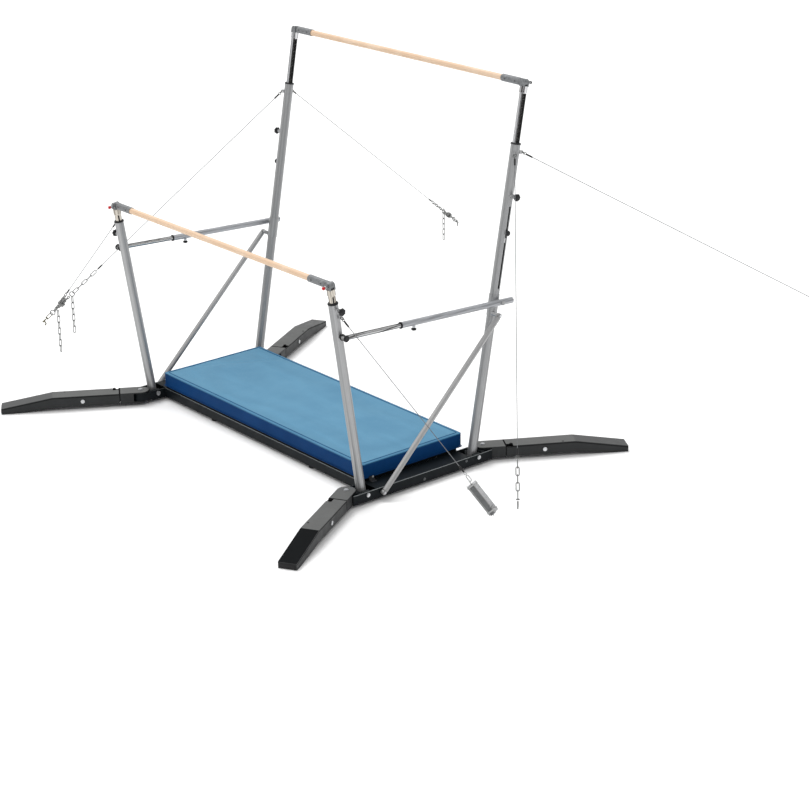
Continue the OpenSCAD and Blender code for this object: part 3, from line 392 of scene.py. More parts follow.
# The CAD nodes that take one material all over.
FINISHES = {
    "frame_black": ["side_beams", "cross_beams"],
    "board": ["deck_board"],
    "bolt_steel": ["base_bolts"],
    "black_rubber": ["base_pads"],
    "high_tube": ["high_posts", "high_brackets"],
    "low_tube": ["low_posts"],
    "black_plastic": ["high_collars", "low_collars", "spreader_bushes", "low_spreader_pins"],
    "brace_tube": ["braces"],
    "sleeve_grey": ["high_rail_sleeves", "low_rail_sleeves"],
    "rail_wood_high": ["high_rail"],
    "rail_wood_low": ["low_rail"],
    "core_steel": ["high_rail_core", "low_rail_core"],
    "chrome_high": ["high_inner_tubes"],
    "chrome_low": ["low_inner_tubes"],
    "chrome_rod": ["spreader_rods"],
    "spreader_tube": ["spreader_tubes"],
}

# Each foot's name, its side (+1 at +X) and its end (+1 at +Y). Seen from above, it is splayed out
# from the end beam by FOOT_SPLAY degrees.
FEET = [(f"{'front' if end < 0 else 'rear'}_{'right' if side > 0 else 'left'}_foot", side, end)
        for end in (-1, 1) for side in (1, -1)]
FOOT_PIVOT, FOOT_SPLAY = (1.186, 0.576), 31

# In a foot's own axes: half its width, then y at the end of its arm, at its bend and at its tip.
FOOT_HALF, JOINT_LINE, BEND, TIP = 0.060, 0.151, 0.620, 0.980
CROSS_BOLT_YZ, CROSS_BOLT_R = (0.410, 0.060), 0.0135
LOCK_PIN_XY, LOCK_PIN_R = (0.038, 0.184), 0.0115
FOOT_TOP = 0.0925


def foot_axes(side, end):
    """A foot's own axes: y from its pivot to its tip."""
    turn = -side * math.radians(FOOT_SPLAY) if end > 0 else side * math.radians(FOOT_SPLAY - 180)
    pivot = Matrix.Translation((side * FOOT_PIVOT[0], end * FOOT_PIVOT[1], 0))
    return pivot @ Matrix.Rotation(turn, 4, "Z")


def finish_nodes():
    for finish, nodes in FINISHES.items():
        for node in nodes:
            paint(node, [finish], lambda c, n, only=finish: only)


def paint(node, finishes, pick):
    """Gives a CAD node its materials; pick(centre, normal) names the one that a face takes."""
    mesh = NODES[node].data
    mesh.materials.clear()
    for finish in finishes:
        mesh.materials.append(MATERIALS[finish])
    marks = [finishes.index(pick(f.center, f.normal)) for f in mesh.polygons]
    mesh.polygons.foreach_set("material_index", marks)
    mesh.update()


def paint_beams():
    """Black end beams with grey lugs beside the posts' hinges."""
    half_x, half_y, foot = 0.045, 0.031, 0.03

    def pick(c, n):
        by_post = abs(abs(c.x) - POST_X) < half_x and abs(abs(c.y) - HINGE_Y) < half_y
        return "lug_grey" if by_post and abs(n.x) > 0.5 and c.z > foot else "frame_black"
    paint("end_beams", ["frame_black", "lug_grey"], pick)


def paint_heads():
    """Grey forks on sockets of the same chrome as the tubes."""
    below_rail = 0.0266
    for node, rail, chrome in (("high_post_heads", HIGH_RAIL, "chrome_high"),
                               ("low_post_heads", LOW_RAIL, "chrome_low")):
        up = post_axes(1, rail, 0).to_3x3() @ Vector((0, 0, 1))
        top = Vector((0, rail.y, rail.z)).dot(up) - below_rail
        paint(node, ["head_grey", chrome],
              lambda c, n: chrome if Vector((0, c.y, c.z)).dot(up) < top else "head_grey")


def paint_feet():
    """Feet in lit and shaded copies of one grey paint: a painted lighter top, painted shade on the sides, a
    painted dark reflection on the front right foot's slope and a painted lighter slope on the others. Plated
    cross bolts, black round the lock pins, and painted shade in the forks.
    """
    for name, side, end in FEET:
        back = foot_axes(side, end).inverted()
        # The slopes are painted reflections: near black on the front right foot, lighter on the others.
        slope = "foot_paint_dark_reflection" if name == "front_right_foot" else "foot_paint_lit_slope"

        def arm(c, n):
            p = back @ c
            bolt = math.hypot(p.y - CROSS_BOLT_YZ[0], p.z - CROSS_BOLT_YZ[1]) < CROSS_BOLT_R
            pin = math.hypot(p.x - LOCK_PIN_XY[0], p.y - LOCK_PIN_XY[1]) < LOCK_PIN_R
            in_fork = abs(p.x) < 0.047 and p.y > 0.0795 and p.z < FOOT_TOP + 0.001
            if bolt or abs(p.x) > FOOT_HALF + 1e-4:
                return "bolt_steel"
            # Painted shade: the faces inside the fork are near black. The lock pins' tops are black.
            if in_fork or (pin and p.z > FOOT_TOP):
                return "foot_black_and_gap_shade"
            # Painted light on the tops, painted shade on the sides.
            return "foot_top" if n.z > 0.5 else "foot_paint_shaded_side"

        def shell(c, n):
            if n.z <= 0.5:
                return "foot_paint_shaded_side"
            return slope if (back @ c).y > BEND - 0.01 else "foot_top"

        paint(name + "_arm", ["foot_top", "foot_paint_shaded_side", "bolt_steel", "foot_black_and_gap_shade"], arm)
        paint(name + "_shell", ["foot_top", "foot_paint_shaded_side", slope], shell)


def paint_tackle():
    """Black ferrules where each cable ends, plated shackles and chains, and an olive left hook."""
    hook_size, ferrule_length, ferrule_r = 0.105, 0.0455, 0.0062
    ends = []
    for start, stop, _, _ in CABLES.values():
        way = (Vector(stop) - Vector(start)).normalized()
        ends += [(Vector(start), -way), (Vector(stop), way)]

    def on_ferrule(c):
        for at, way in ends:
            t = (c - at).dot(way)
            if -0.001 < t < ferrule_length and (c - at - way * t).length < ferrule_r:
                return True
        return False

    def pick(c, n):
        if on_ferrule(c):
            return "ferrule_black"
        return "hook_brass" if (c - LEFT_HOOK).length < hook_size else "chain_zinc"

    for node in ("high_shackles", "low_shackles", "left_tensioner", "rear_and_front_chains"):
        paint(node, ["chain_zinc", "ferrule_black", "hook_brass"], pick)
    paint("right_tensioner", ["tackle_zinc", "ferrule_black", "lever_bright", "lever_dull"],
          lambda c, n: lever_finish(c, n) or ("ferrule_black" if on_ferrule(c) else "tackle_zinc"))


def lever_finish(c, n):
    """The lever's strips on the right tensioner, by depth from its open side; None elsewhere."""
    start, stop, _, _ = CABLES["low_right_cable"]
    top = Vector(stop)
    way = (top - Vector(start)).normalized()
    turn = math.atan2(way.y, way.x)
    across = Vector((-math.sin(turn), math.cos(turn), 0))
    open_side = across.cross(way) * math.cos(LEVER_TURN) + across * math.sin(LEVER_TURN)
    deep = (c - top).dot(open_side)
    if n.dot(open_side) > 0.95 and -0.015 < deep < -0.003:
        return "lever_bright" if deep < -0.008 else "lever_dull"
    if n.dot(open_side.cross(way)) > 0.95 and abs(deep) < 0.022 and (c - top).dot(way) > 0.13:
        return "lever_bright"
    return None


# ---------- building ----------

def add_piece(name, verts, faces, finishes, body, smooth=True, marks=None):
    """A new mesh object; marks gives each face the number of its material in finishes."""
    mesh = bpy.data.meshes.new(name)
    mesh.from_pydata([tuple(v) for v in verts], [], faces)
    mesh.validate()
    for finish in finishes:
        mesh.materials.append(MATERIALS[finish])
    piece = bpy.data.objects.new(name, mesh)
    bpy.context.scene.collection.objects.link(piece)
    if marks:
        mesh.polygons.foreach_set("material_index", marks)
    if smooth:
        mesh.shade_smooth()
        mesh.set_sharp_from_angle(angle=math.radians(38))
    if body:
        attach(piece, body)
    return piece


class Shape:
    """Vertices and faces gathered from several closed solids, each with its material's number."""

    def __init__(self):
        self.verts, self.faces, self.marks = [], [], []

    def add(self, verts, faces, place=None, mark=0):
        start = len(self.verts)
        self.verts += [place @ Vector(v) if place is not None else Vector(v) for v in verts]
        self.faces += [tuple(start + i for i in f) for f in faces]
        self.marks += [mark] * len(faces)
        return self

    def lathe(self, profile, place=None, sides=40, mark=0, wave=None):
        """A closed solid turned about z from (radius, z) points; wave(angle) scales the wider ones."""
        verts, faces = [], []
        widest = max(r for r, _ in profile)
        for r, z in profile:
            for k in range(sides):
                a = 2 * math.pi * k / sides
                out = r * wave(a) if wave and r > 0.4 * widest else r
                verts.append((out * math.cos(a), out * math.sin(a), z))
        for i in range(len(profile) - 1):
            for k in range(sides):
                j = (k + 1) % sides
                faces.append((i * sides + k, i * sides + j, (i + 1) * sides + j, (i + 1) * sides + k))
        verts += [(0, 0, profile[0][1]), (0, 0, profile[-1][1])]
        low, high, last = len(verts) - 2, len(verts) - 1, (len(profile) - 1) * sides
        for k in range(sides):
            j = (k + 1) % sides
            faces.append((low, j, k))
            faces.append((high, last + k, last + j))
        return self.add(verts, faces, place, mark)

    def slab(self, corner, opposite, place=None, bevel=0.001, mark=0):
        """A box with chamfered edges, between two opposite corners."""
        low = Vector(min(pair) for pair in zip(corner, opposite))
        high = Vector(max(pair) for pair in zip(corner, opposite))
        size, middle = high - low, (high + low) / 2
        made = bmesh.new()
        bmesh.ops.create_cube(made, size=1)
        for v in made.verts:
            v.co = Vector(v.co[i] * size[i] + middle[i] for i in range(3))
        bmesh.ops.bevel(made, geom=made.edges[:], offset=min(bevel, min(size) * 0.45), segments=2,
                        profile=0.5, affect="EDGES")
        made.verts.ensure_lookup_table()
        self.add([v.co.copy() for v in made.verts], [[v.index for v in f.verts] for f in made.faces],
                 place, mark)
        made.free()
        return self

    def tube(self, path, r, sides=10, mark=0, place=None, closed=False):
        """A round solid swept along points, closed into a ring or with flat ends."""
        path = [Vector(p) for p in path]
        n = len(path)
        verts, faces = [], []
        normal = None
        for i, p in enumerate(path):
            a = path[(i - 1) % n] if closed or i else p
            b = path[(i + 1) % n] if closed or i < n - 1 else p
            way = (b - a).normalized()
            if normal is None:
                normal = way.orthogonal().normalized()
            normal = (normal - way * normal.dot(way)).normalized()
            side = way.cross(normal)
            verts += [p + (normal * math.cos(t) + side * math.sin(t)) * r
                      for t in (2 * math.pi * k / sides for k in range(sides))]
        for i in range(n if closed else n - 1):
            for k in range(sides):
                j, m = (k + 1) % sides, (i + 1) % n
                faces.append((i * sides + k, i * sides + j, m * sides + j, m * sides + k))
        if not closed:
            faces.append(tuple(range(sides - 1, -1, -1)))
            faces.append(tuple((n - 1) * sides + k for k in range(sides)))
        return self.add(verts, faces, place, mark)

    def piece(self, name, finishes, body, slot=None, smooth=True):
        return add_piece(name, self.verts, self.faces, finishes, body, smooth, self.marks)


# ---------- cords ----------

LEFT_HOOK = Vector((-2.534, -0.585, 0.250))
LEVER_TURN = math.radians(230)

# Each cable's bare rope: where it starts at the post and stops, its body, and the tackle on its ends.
CABLES = {
    "high_left_front_cable": ((-1.2706, 0.7526, 1.9888), (-2.1921, -0.2231, 0.7205), "base",
                              ["high_shackles", "left_tensioner"]),
    "high_left_rear_cable": ((-1.2500, 0.9291, 2.0029), (-2.3131, 3.0921, 0.5853), "base",
                             ["high_shackles", "rear_and_front_chains"]),
    "high_right_rear_cable": ((1.2635, 0.9227, 2.0051), (2.3199, 2.5088, 0.9668), "base",
                              ["high_shackles", "rear_and_front_chains"]),
    "high_right_front_cable": ((1.2723, 0.7639, 1.9826), (2.1790, -0.0326, 0.5449), "base",
                               ["high_shackles", "rear_and_front_chains"]),
    "low_left_cable": ((-1.3060, -0.6403, 1.2925), (-2.1503, -0.5418, 0.6046), "low_frame",
                       ["low_shackles", "left_tensioner"]),
    "low_right_cable": ((1.3003, -0.6162, 1.2258), (2.0753, -0.4058, 0.4984), "low_frame",
                        ["low_shackles", "right_tensioner"]),
}
CABLE_D = 0.005


def make_cables():
    """Taut wire ropes: six lobes twisted about a straight line."""
    lay, ring_step, sides = 0.042, 0.006, 24
    for node, (start, stop, body, ends) in CABLES.items():
        start, stop = Vector(start), Vector(stop)
        length = (stop - start).length
        way = (stop - start) / length
        across = way.orthogonal().normalized()
        over = way.cross(across)
        rings = round(length / ring_step)
        verts, faces = [], []
        for i in range(rings + 1):
            centre = start + way * (length * i / rings)
            twist = 2 * math.pi * (length * i / rings) / lay
            for k in range(sides):
                a = 2 * math.pi * k / sides
                r = CABLE_D / 2 * (0.94 + 0.06 * math.cos(6 * a))
                verts.append(centre + (across * math.cos(a + twist) + over * math.sin(a + twist)) * r)
        for i in range(rings):
            for k in range(sides):
                j = (k + 1) % sides
                faces.append((i * sides + k, i * sides + j, (i + 1) * sides + j, (i + 1) * sides + k))
        faces.append(tuple(range(sides - 1, -1, -1)))
        faces.append(tuple(rings * sides + k for k in range(sides)))
        piece = add_piece(node + "_rope", verts, faces, ["cable_steel"], body)
        piece.data.set_sharp_from_angle(angle=math.pi)
        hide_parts(node)


# ---------- stage ----------

def make_stage():
    """A white floor, a pale sky and two soft lamps."""
    make_floor()
    make_sky()
    for name, way, strength, spread in (("key", (-0.60, 0.10, 1.25), 1.9, 32),
                                        ("front", (-0.4, -1.0, 0.7), 0.35, 70)):
        data = bpy.data.lights.new(name, "SUN")
        data.energy, data.angle = strength, math.radians(spread)
        lamp = bpy.data.objects.new(name, data)
        bpy.context.scene.collection.objects.link(lamp)
        lamp.rotation_mode = "QUATERNION"
        lamp.rotation_quaternion = Vector(way).to_track_quat("Z", "Y")
    bpy.context.scene.view_settings.view_transform = "Standard"


def make_floor():
    size = 90
    mesh = bpy.data.meshes.new("floor")
    mesh.from_pydata([(-size, -size, 0), (size, -size, 0), (size, size, 0), (-size, size, 0)], [],
                     [(0, 1, 2, 3)])
    mesh.materials.append(floor_paint("floor_paint"))
    floor = bpy.data.objects.new("floor", mesh)
    bpy.context.scene.collection.objects.link(floor)


def make_sky():
    """Grey at the horizon, white overhead."""
    world = bpy.data.worlds.new("studio")
    bpy.context.scene.world = world
    world.use_nodes = True
    tree = world.node_tree
    tree.nodes.clear()
    place = tree.nodes.new("ShaderNodeTexCoord")
    split = tree.nodes.new("ShaderNodeSeparateXYZ")
    ramp = tree.nodes.new("ShaderNodeValToRGB")
    light = tree.nodes.new("ShaderNodeBackground")
    out = tree.nodes.new("ShaderNodeOutputWorld")
    tree.links.new(place.outputs["Generated"], split.inputs[0])
    tree.links.new(split.outputs["Z"], ramp.inputs[0])
    tree.links.new(ramp.outputs[0], light.inputs[0])
    tree.links.new(light.outputs[0], out.inputs[0])
    for stop, height, colour in zip(ramp.color_ramp.elements, (0.0, 0.7),
                                    ((0.36, 0.36, 0.365, 1), (1, 1, 1, 1))):
        stop.position = height
        stop.color = colour
    light.inputs[1].default_value = 0.85


# ---------- mat ----------

MAT_LOW, MAT_HIGH = (Vector(v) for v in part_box("mat"))
MAT_MID = (MAT_LOW + MAT_HIGH) / 2
MAT_HALF = (MAT_HIGH.x - MAT_MID.x, MAT_HIGH.y - MAT_MID.y)
MAT_Z = (MAT_LOW.z, MAT_HIGH.z)

# The welt's distance in from the mat's edge, and how far the cover may swell.
WELT_IN = 0.030
SWELL = 0.006


def rounded_outline(inset, r, steps=6):
    """Points round the mat's rectangle with rounded corners, anticlockwise."""
    half = (MAT_HALF[0] - inset, MAT_HALF[1] - inset)
    points = []
    for k, (sx, sy) in enumerate(((1, -1), (1, 1), (-1, 1), (-1, -1))):
        for i in range(steps + 1):
            a = math.radians(-90 + 90 * k + 90 * i / steps)
            points.append((MAT_MID.x + sx * (half[0] - r) + r * math.cos(a),
                           MAT_MID.y + sy * (half[1] - r) + r * math.sin(a)))
    return points


def crease_depth(x, y):
    """A soft fold across the left rear corner, left from carrying the mat."""
    start, stop = Vector((-1.10, -0.17)), Vector((-0.80, 0.39))
    deepest, half_width = 0.0042, 0.018
    line, at = stop - start, Vector((x, y))
    t = max(0, min(1, (at - start).dot(line) / line.length_squared))
    off = (at - start.lerp(stop, t)).length
    return deepest * math.exp(-(off / half_width) ** 2)


def settled(x, y, z):
    """A point of the cover with the mat's slow waves and its fold, kept in the mat's space."""
    wave, per_metre, flat_below, full_above = 0.0011, 2.3, 0.02, 0.09
    if z > MAT_Z[0] + flat_below:
        swing = noise.noise(Vector((x * per_metre, y * per_metre, 0.7)))
        z += wave * swing * min(1, (z - MAT_Z[0]) / full_above)
        z -= crease_depth(x, y)
    return (max(MAT_LOW.x, min(MAT_HIGH.x, x)), max(MAT_LOW.y, min(MAT_HIGH.y, y)),
            max(MAT_Z[0], min(MAT_Z[1] + 0.001, z)))


def make_mat():
    """A foam slab in a sewn cover: it starts small and swells into its solid's space, flat below."""
    outline = rounded_outline(SWELL, 0.02)
    shape = Shape()
    n = len(outline)
    levels = [MAT_Z[0], MAT_Z[1] - SWELL]
    verts = [(x, y, z) for z in levels for x, y in outline]
    faces = [tuple(range(n - 1, -1, -1)), tuple(range(n, 2 * n))]
    faces += [(i, (i + 1) % n, n + (i + 1) % n, n + i) for i in range(n)]
    shape.add(verts, faces)
    piece = shape.piece("mat_cover", ["mat_top", "mat_side", "mat_border"], None, smooth=False)
    bpy.context.view_layer.objects.active = piece
    piece.select_set(True)
    piece.data.remesh_voxel_size = 0.012
    bpy.ops.object.voxel_remesh()
    points = np.array([v.co for v in piece.data.vertices])
    points = swell(piece, points)
    for v, p in zip(piece.data.vertices, points):
        v.co = settled(*p)
    smooth = piece.modifiers.new("smooth", "SUBSURF")
    smooth.levels = smooth.render_levels = 1
    bpy.ops.object.modifier_apply(modifier="smooth")
    mesh = piece.data
    middle, side, border = range(3)
    for f in mesh.polygons:
        c = f.center
        edge = min(MAT_HALF[0] - abs(c.x - MAT_MID.x), MAT_HALF[1] - abs(c.y - MAT_MID.y))
        top = c.z > MAT_Z[1] - 0.010 and f.normal.z > 0.35
        f.material_index = (border if edge < WELT_IN else middle) if top else side
    mesh.shade_smooth()
    piece.select_set(False)
    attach(piece, "base")
    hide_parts("mat")
    return piece


def swell(piece, points):
    """The points moved outward by a short cloth simulation, from nothing to SWELL."""
    frames = 20
    outward = np.array([v.normal for v in piece.data.vertices])
    cloth = piece.modifiers.new("cloth", "CLOTH")
    cloth.settings.use_pressure = True
    cloth.settings.uniform_pressure_force = 4
    cloth.settings.tension_stiffness = 25
    cloth.settings.bending_stiffness = 2
    cloth.settings.effector_weights.gravity = 0
    cloth.settings.quality = 4
    cloth.collision_settings.use_collision = False
    cloth.point_cache.frame_start = 1
    cloth.point_cache.frame_end = frames
    for f in range(1, frames + 1):
        bpy.context.scene.frame_set(f)
    evaluated = piece.evaluated_get(bpy.context.evaluated_depsgraph_get())
    swollen = np.array([v.co for v in evaluated.to_mesh().vertices])
    evaluated.to_mesh_clear()
    piece.modifiers.clear()
    bpy.context.scene.frame_set(1)

    # Only the outward part is kept: the free slab also drifts sideways.
    lift = ((swollen - points) * outward).sum(axis=1)
    lift -= np.percentile(lift, 2)
    share = np.clip(lift / np.percentile(lift, 98), 0, 1)
    return points + outward * (SWELL * share)[:, None]


def make_mat_seams(cover):
    """Piping on the top edge, a welt and stitches set in from it, and a bound lower edge."""
    tree = cover.evaluated_get(bpy.context.evaluated_depsgraph_get())

    def surface_z(x, y):
        hit, at, _, _ = tree.ray_cast(Vector((x, y, 0.4)), Vector((0, 0, -1)))
        return at.z if hit else MAT_Z[1]

    def ring(inset, r, lift, step=0.02):
        outline = rounded_outline(inset, max(r, 0.004), 8)
        points = []
        for a, b in zip(outline, outline[1:] + outline[:1]):
            a, b = Vector(a), Vector(b)
            count = max(1, round((b - a).length / step))
            points += [a.lerp(b, i / count) for i in range(count)]
        return [Vector((p.x, p.y, surface_z(p.x, p.y) + lift)) for p in points]

    shape = Shape()
    welt, thread, binding = range(3)
    shape.tube(ring(0.0075, 0.018, -0.0008), 0.0032, 8, welt, closed=True)
    shape.tube(ring(WELT_IN, 0.012, -0.0002), 0.0030, 6, welt, closed=True)
    stitches = ring(WELT_IN + 0.006, 0.012, 0.0001, 0.009)
    hump = Vector((0, 0, 0.0005))
    for a, b in zip(stitches[::2], stitches[1::2]):
        shape.tube([a, a.lerp(b, 0.3) + hump, a.lerp(b, 0.7) + hump, b], 0.0006, 5, thread)
    low = [Vector((x, y, MAT_Z[0] + 0.006)) for x, y in rounded_outline(0.002, 0.02)]
    shape.tube(low, 0.003, 6, binding, closed=True)
    shape.piece("mat_seams", ["mat_welt", "mat_top", "mat_side"], "base", "mat_fabric")


def make_mat_tabs():
    """The webbing tabs that button the mat's ends down to the end beams."""
    y, half, thick = -0.335, 0.022, 0.0018
    for k, side in enumerate((1, -1)):
        shape = Shape()
        face = MAT_MID.x + side * (MAT_HALF[0] + 0.0012)
        rows = [(face, MAT_Z[0] + 0.012), (face + side * 0.0006, MAT_Z[0] + 0.004),
                (face + side * 0.004, MAT_Z[0] - 0.006), (face + side * 0.012, 0.0875),
                (face + side * 0.034, 0.0868)]
        verts, faces = [], []
        for i, (x, z) in enumerate(rows):
            for dy in (-half, half):
                for lift in (0, thick):
                    verts.append((x + side * lift * (i < 3), y + dy, z + lift * (i > 2)))
        for i in range(len(rows) - 1):
            a = i * 4
            faces += [(a, a + 2, a + 6, a + 4), (a + 1, a + 5, a + 7, a + 3), (a, a + 4, a + 5, a + 1),
                      (a + 2, a + 3, a + 7, a + 6)]
        end = (len(rows) - 1) * 4
        faces += [(0, 1, 3, 2), (end, end + 2, end + 3, end + 1)]
        shape.add(verts, faces)
        stud = axes(Vector((face + side * 0.0028, y + 0.010, MAT_Z[0] + 0.003)), Vector((0, 1, 0)),
                    Vector((side, 0, 0)))
        shape.lathe([(0.0085, -0.001), (0.0085, 0.0008), (0.0065, 0.0022), (0.004, 0.0026),
                     (0.0035, 0.0018)], stud, 24, 1)
        shape.piece(f"mat_tab_{k}", ["strap", "bolt_steel"], "base", "black_rubber")


# ---------- hardware ----------

# Each kind of grip: its stem's radius and start, its seat on the stem, its radius, height and lobes.
GRIPS = {
    "clamp": (0.006, 0.0236, 0.0676, 0.025, 0.026, 7),
    "pull": (0.007, 0.0006, 0.0426, 0.011, 0.018, 16),
    "slot": (0.006, 0.020, 0.034, 0.018, 0.020, 16),
    "spreader": (0.005, 0.0155, 0.0325, 0.017, 0.020, 16),
}


def make_grip(name, kind, place, skin="black_plastic"):
    """Plated stem with a shoulder, a lobed or knurled grip, and a cap pressed into its face."""
    stem_r, start, seat, r, h, lobes = GRIPS[kind]
    knurled = lobes > 12
    depth = 0.05 if knurled else 0.12
    shape = Shape()
    shape.lathe([(stem_r - 0.0006, start), (stem_r, start + 0.0006), (stem_r, seat - 0.008),
                 (stem_r + 0.0015, seat - 0.0075), (stem_r + 0.0035, seat - 0.0065),
                 (stem_r + 0.0035, seat + 0.001)], place, 28, 0)
    profile = [(0.44, 0.0), (0.50, 0.03), (0.56, 0.16), (0.80, 0.27), (0.95, 0.33), (1.0, 0.42),
               (1.0, 0.62), (0.96, 0.74), (0.86, 0.86), (0.72, 0.95), (0.56, 1.0), (0.46, 0.98), (0.44, 0.9)]
    shape.lathe([(r * a, seat + h * b) for a, b in profile], place, (4 if knurled else 12) * lobes, 1,
                lambda a: 1 - depth * (0.5 - 0.5 * math.cos(lobes * a)))
    shape.lathe([(0.43 * r, seat + 0.9 * h), (0.43 * r, seat + 0.955 * h), (0.38 * r, seat + 0.985 * h),
                 (0.2 * r, seat + h)], place, 32, 2)
    piece = shape.piece(name + "_grip", ["bolt_steel", skin, skin], name, "black_plastic")
    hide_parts(name)


def make_rail_grips():
    """Clamp knobs on the posts, and pull pins under the rails' ends."""
    outward = Matrix.Rotation(math.radians(90), 4, "Y")
    for level, rail, tip, knobs in (("high", HIGH_RAIL, "black_plastic", (("right", 1.735), ("left", 1.712))),
                                    ("low", LOW_RAIL, "red_plastic", (("right", 1.272), ("left", 1.203)))):
        for hand, up_post in knobs:
            side = 1 if hand == "right" else -1
            make_grip(f"{level}_{hand}_clamp_knob", "clamp", post_axes(side, rail, up_post) @ outward)
            along = post_axes(side, rail, 0).col[2]
            pull = Vector((0, math.copysign(along.z, rail.y), -abs(along.y)))
            place = axes(Vector((side * POST_X, rail.y, rail.z)), Vector((side, 0, 0)), pull)
            make_grip(f"{level}_{hand}_pull_pin", "pull", place, tip)


def make_frame_grips():
    """Knobs in the high posts' slots, and knobs below the spreaders."""
    outward = Matrix.Rotation(math.radians(90), 4, "Y")
    slot_up, high_up, low_up = 1.495, 1.047, 1.095
    spreader_x, knob_along = 1.268, 0.730
    high = post_axes(1, HIGH_RAIL, high_up).translation
    low = post_axes(1, LOW_RAIL, low_up).translation
    way = Vector((0, low.y - high.y, low.z - high.z)).normalized()
    for side, hand in ((1, "right"), (-1, "left")):
        make_grip(f"{hand}_slot_knob", "slot", post_axes(side, HIGH_RAIL, slot_up) @ outward)
        middle = Vector((side * spreader_x, high.y, high.z)) + way * knob_along
        place = axes(middle, Vector((1, 0, 0)), Vector((0, -way.z, way.y)))
        make_grip(f"{hand}_spreader_knob", "spreader", place)


def arc_patch(shape, place, radii, angles, levels, mark):
    """A thin curved plate on a tube."""
    steps = 6
    verts, faces = [], []
    for i in range(steps + 1):
        a = angles[0] + (angles[1] - angles[0]) * i / steps
        verts += [(r * math.cos(a), r * math.sin(a), z) for z in levels for r in radii]
    for i in range(steps):
        a, b = 4 * i, 4 * i + 4
        faces += [(a, a + 1, b + 1, b), (a + 2, b + 2, b + 3, a + 3), (a + 1, a + 3, b + 3, b + 1),
                  (a, b, b + 2, a + 2)]
    end = 4 * steps
    faces += [(0, 2, 3, 1), (end, end + 1, end + 3, end + 2)]
    shape.add(verts, faces, place, mark)


def make_scales():
    """Black height scales on the inner tubes: a tick each centimetre, a long one each five."""
    tick_step, tick_height = 0.01, 0.001
    for rail, body, low, high, turn, half in ((HIGH_RAIL, "high_bar", 1.75, 2.388, -13.5, 38),
                                              (LOW_RAIL, "low_bar", 0.93, 1.358, -20, 12)):
        turn, half = math.radians(turn), math.radians(half)
        shape = Shape()
        for side in (1, -1):
            turned = Matrix.Rotation(turn if side > 0 else turn + math.pi, 4, "Z")
            place = post_axes(side, rail, 0) @ turned
            arc_patch(shape, place, (INNER_R + 0.00002, INNER_R + 0.0003), (-half, half), (low, high), 0)
            for i in range(round((high - low) / tick_step) - 1):
                z = low + tick_step * (i + 1)
                wide = half * (1.1 if i % 5 == 4 else 0.55)
                arc_patch(shape, place, (INNER_R + 0.0002, INNER_R + 0.00045),
                          (-half * 0.8, -half * 0.8 + wide), (z, z + tick_height), 1)
        shape.piece(f"{body}_scales", ["scale_strip", "scale_marks"], body, "black_plastic")


def make_beam_lips():
    """Bright metal along the beams' outer top edges, partly worn metal and partly a painted highlight on the
    edges: a strip on top and one down the face.
    """
    proud = 0.0004
    strips = ((0.0028, 0.0846), (0.0008, 0.0815))
    top = BEAM_TOP + proud
    shape = Shape()
    for side in (1, -1):
        for inward, bottom in strips:
            shape.slab((side * END_FACE - side * inward, -END_HALF, bottom),
                       (side * END_FACE + side * proud, END_HALF, top), bevel=0.0002)
        for inward, bottom in strips:
            shape.slab((-SIDE_HALF, side * SIDE_FACE - side * inward, bottom),
                       (SIDE_HALF, side * SIDE_FACE + side * proud, top), bevel=0.0002)
    shape.piece("beam_lips", ["edge_wear_and_highlight"], "base", "frame_black")


def make_beam_bolts():
    """Two hexagon bolts on washers, on each end beam's outer face."""
    shape = Shape()
    for side in (1, -1):
        for y, z in ((0.36, 0.066), (0.0, 0.040)):
            place = axes(Vector((side * END_FACE, y, z)), Vector((0, 1, 0)), Vector((side, 0, 0)))
            shape.lathe([(0.0095, -0.001), (0.0095, 0.0012), (0.0088, 0.0016)], place, 32, 0)
            shape.lathe([(0.0068, 0.001), (0.0068, 0.0052), (0.006, 0.006), (0.0034, 0.0062),
                         (0.003, 0.0035)], place, 6, 0)
    shape.piece("beam_bolts", ["lug_grey"], "base", "zinc")


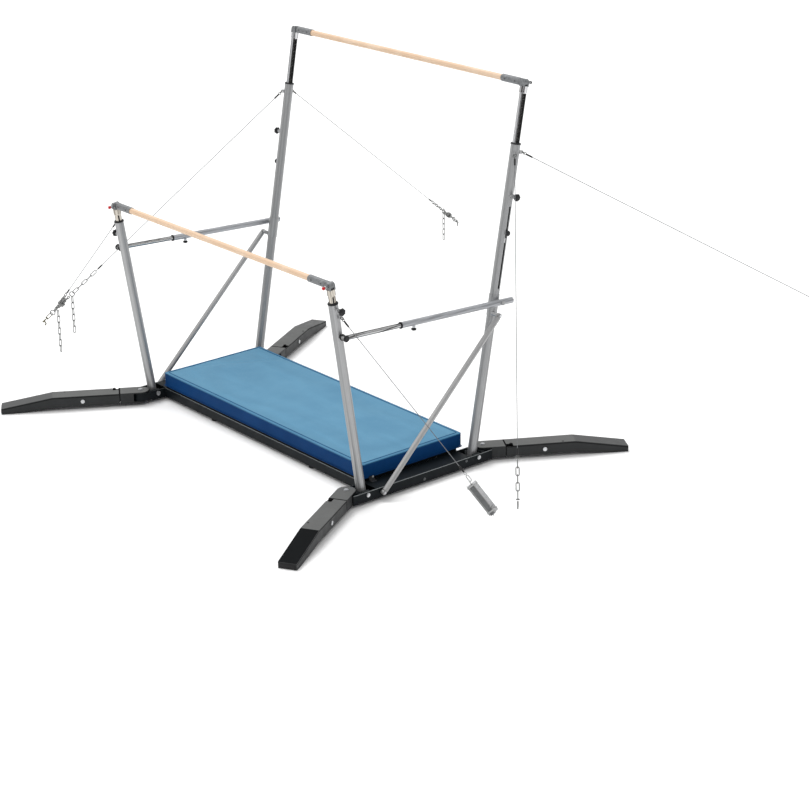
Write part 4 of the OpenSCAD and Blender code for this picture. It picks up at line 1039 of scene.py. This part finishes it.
def add_shadow_gap(shape, place, x):
    """A thin dark strip below the cover plate, on the foot's side x = -1 or 1: painted shade in the groove
    there.
    """
    plate_tops = [(JOINT_LINE + 0.002, 0.100), (BEND, 0.102), (TIP - 0.002, 0.042)]
    verts, faces = [], []
    for y, z in plate_tops:
        for deep in (FOOT_HALF - 0.0006, FOOT_HALF + 0.0004):
            verts += [(x * deep, y, z - 0.0105), (x * deep, y, z - 0.0065)]
    for i in range(len(plate_tops) - 1):
        a = 4 * i
        faces += [(a, a + 1, a + 5, a + 4), (a + 2, a + 6, a + 7, a + 3), (a, a + 4, a + 6, a + 2),
                  (a + 1, a + 3, a + 7, a + 5)]
    last = 4 * (len(plate_tops) - 1)
    faces += [(0, 2, 3, 1), (last, last + 1, last + 3, last + 2)]
    if x < 0:
        faces = [f[::-1] for f in faces]
    shape.add(verts, faces, place, 0)


def make_foot_details():
    """Each foot's shadow gaps, which are strips of painted shade, one cover screw, a near-black block at its
    joint that paints the shade of the gap there, and the stop at its tip.
    """
    for name, side, end in FEET:
        place = foot_axes(side, end)
        shape = Shape()
        for x in (-1, 1):
            add_shadow_gap(shape, place, x)
        screw = place @ Matrix.Translation((0.044, 0.535, 0.1021))
        shape.lathe([(0.0065, -0.0015), (0.0065, 0.0001), (0.0055, 0.0006), (0.003, 0.0006),
                     (0.0026, -0.0008)], screw, 24, 0)
        # Painted shade: a near-black block fills the joint gap.
        shape.slab((-0.0596, JOINT_LINE - 0.008, FOOT_TOP), (0.0596, JOINT_LINE + 0.003, 0.1005),
                   place, 0.0006, 0)
        shape.slab((-0.052, TIP - 0.003, 0.004), (0.052, TIP + 0.003, 0.034), place, 0.002, 1)
        shape.piece(name + "_trim", ["foot_black_and_gap_shade", "black_rubber"], name, "black_rubber")


def make_sleeve_screws():
    """Grub screws that hold the rails in their sleeves."""
    for rail, body in ((HIGH_RAIL, "high_bar"), (LOW_RAIL, "low_bar")):
        shape = Shape()
        for x in (-1.135, -1.04, 1.04, 1.135):
            at = Vector((x, rail.y - 0.0238, rail.z + 0.002))
            place = axes(at, Vector((1, 0, 0)), Vector((0, -1, 0)))
            shape.lathe([(0.0052, -0.002), (0.0052, 0.0004), (0.0046, 0.0008), (0.0028, 0.0008),
                         (0.0026, -0.0006)], place, 24, 0)
        shape.piece(f"{body}_screws", ["ferrule_black"], body, "zinc")


def build():
    make_camera()
    make_cables()
    finish_nodes()
    paint_beams()
    paint_heads()
    paint_feet()
    paint_tackle()
    make_stage()
    cover = make_mat()
    make_mat_seams(cover)
    make_mat_tabs()
    make_rail_grips()
    make_frame_grips()
    make_scales()
    make_beam_lips()
    make_beam_bolts()
    make_foot_details()
    make_sleeve_screws()


build()
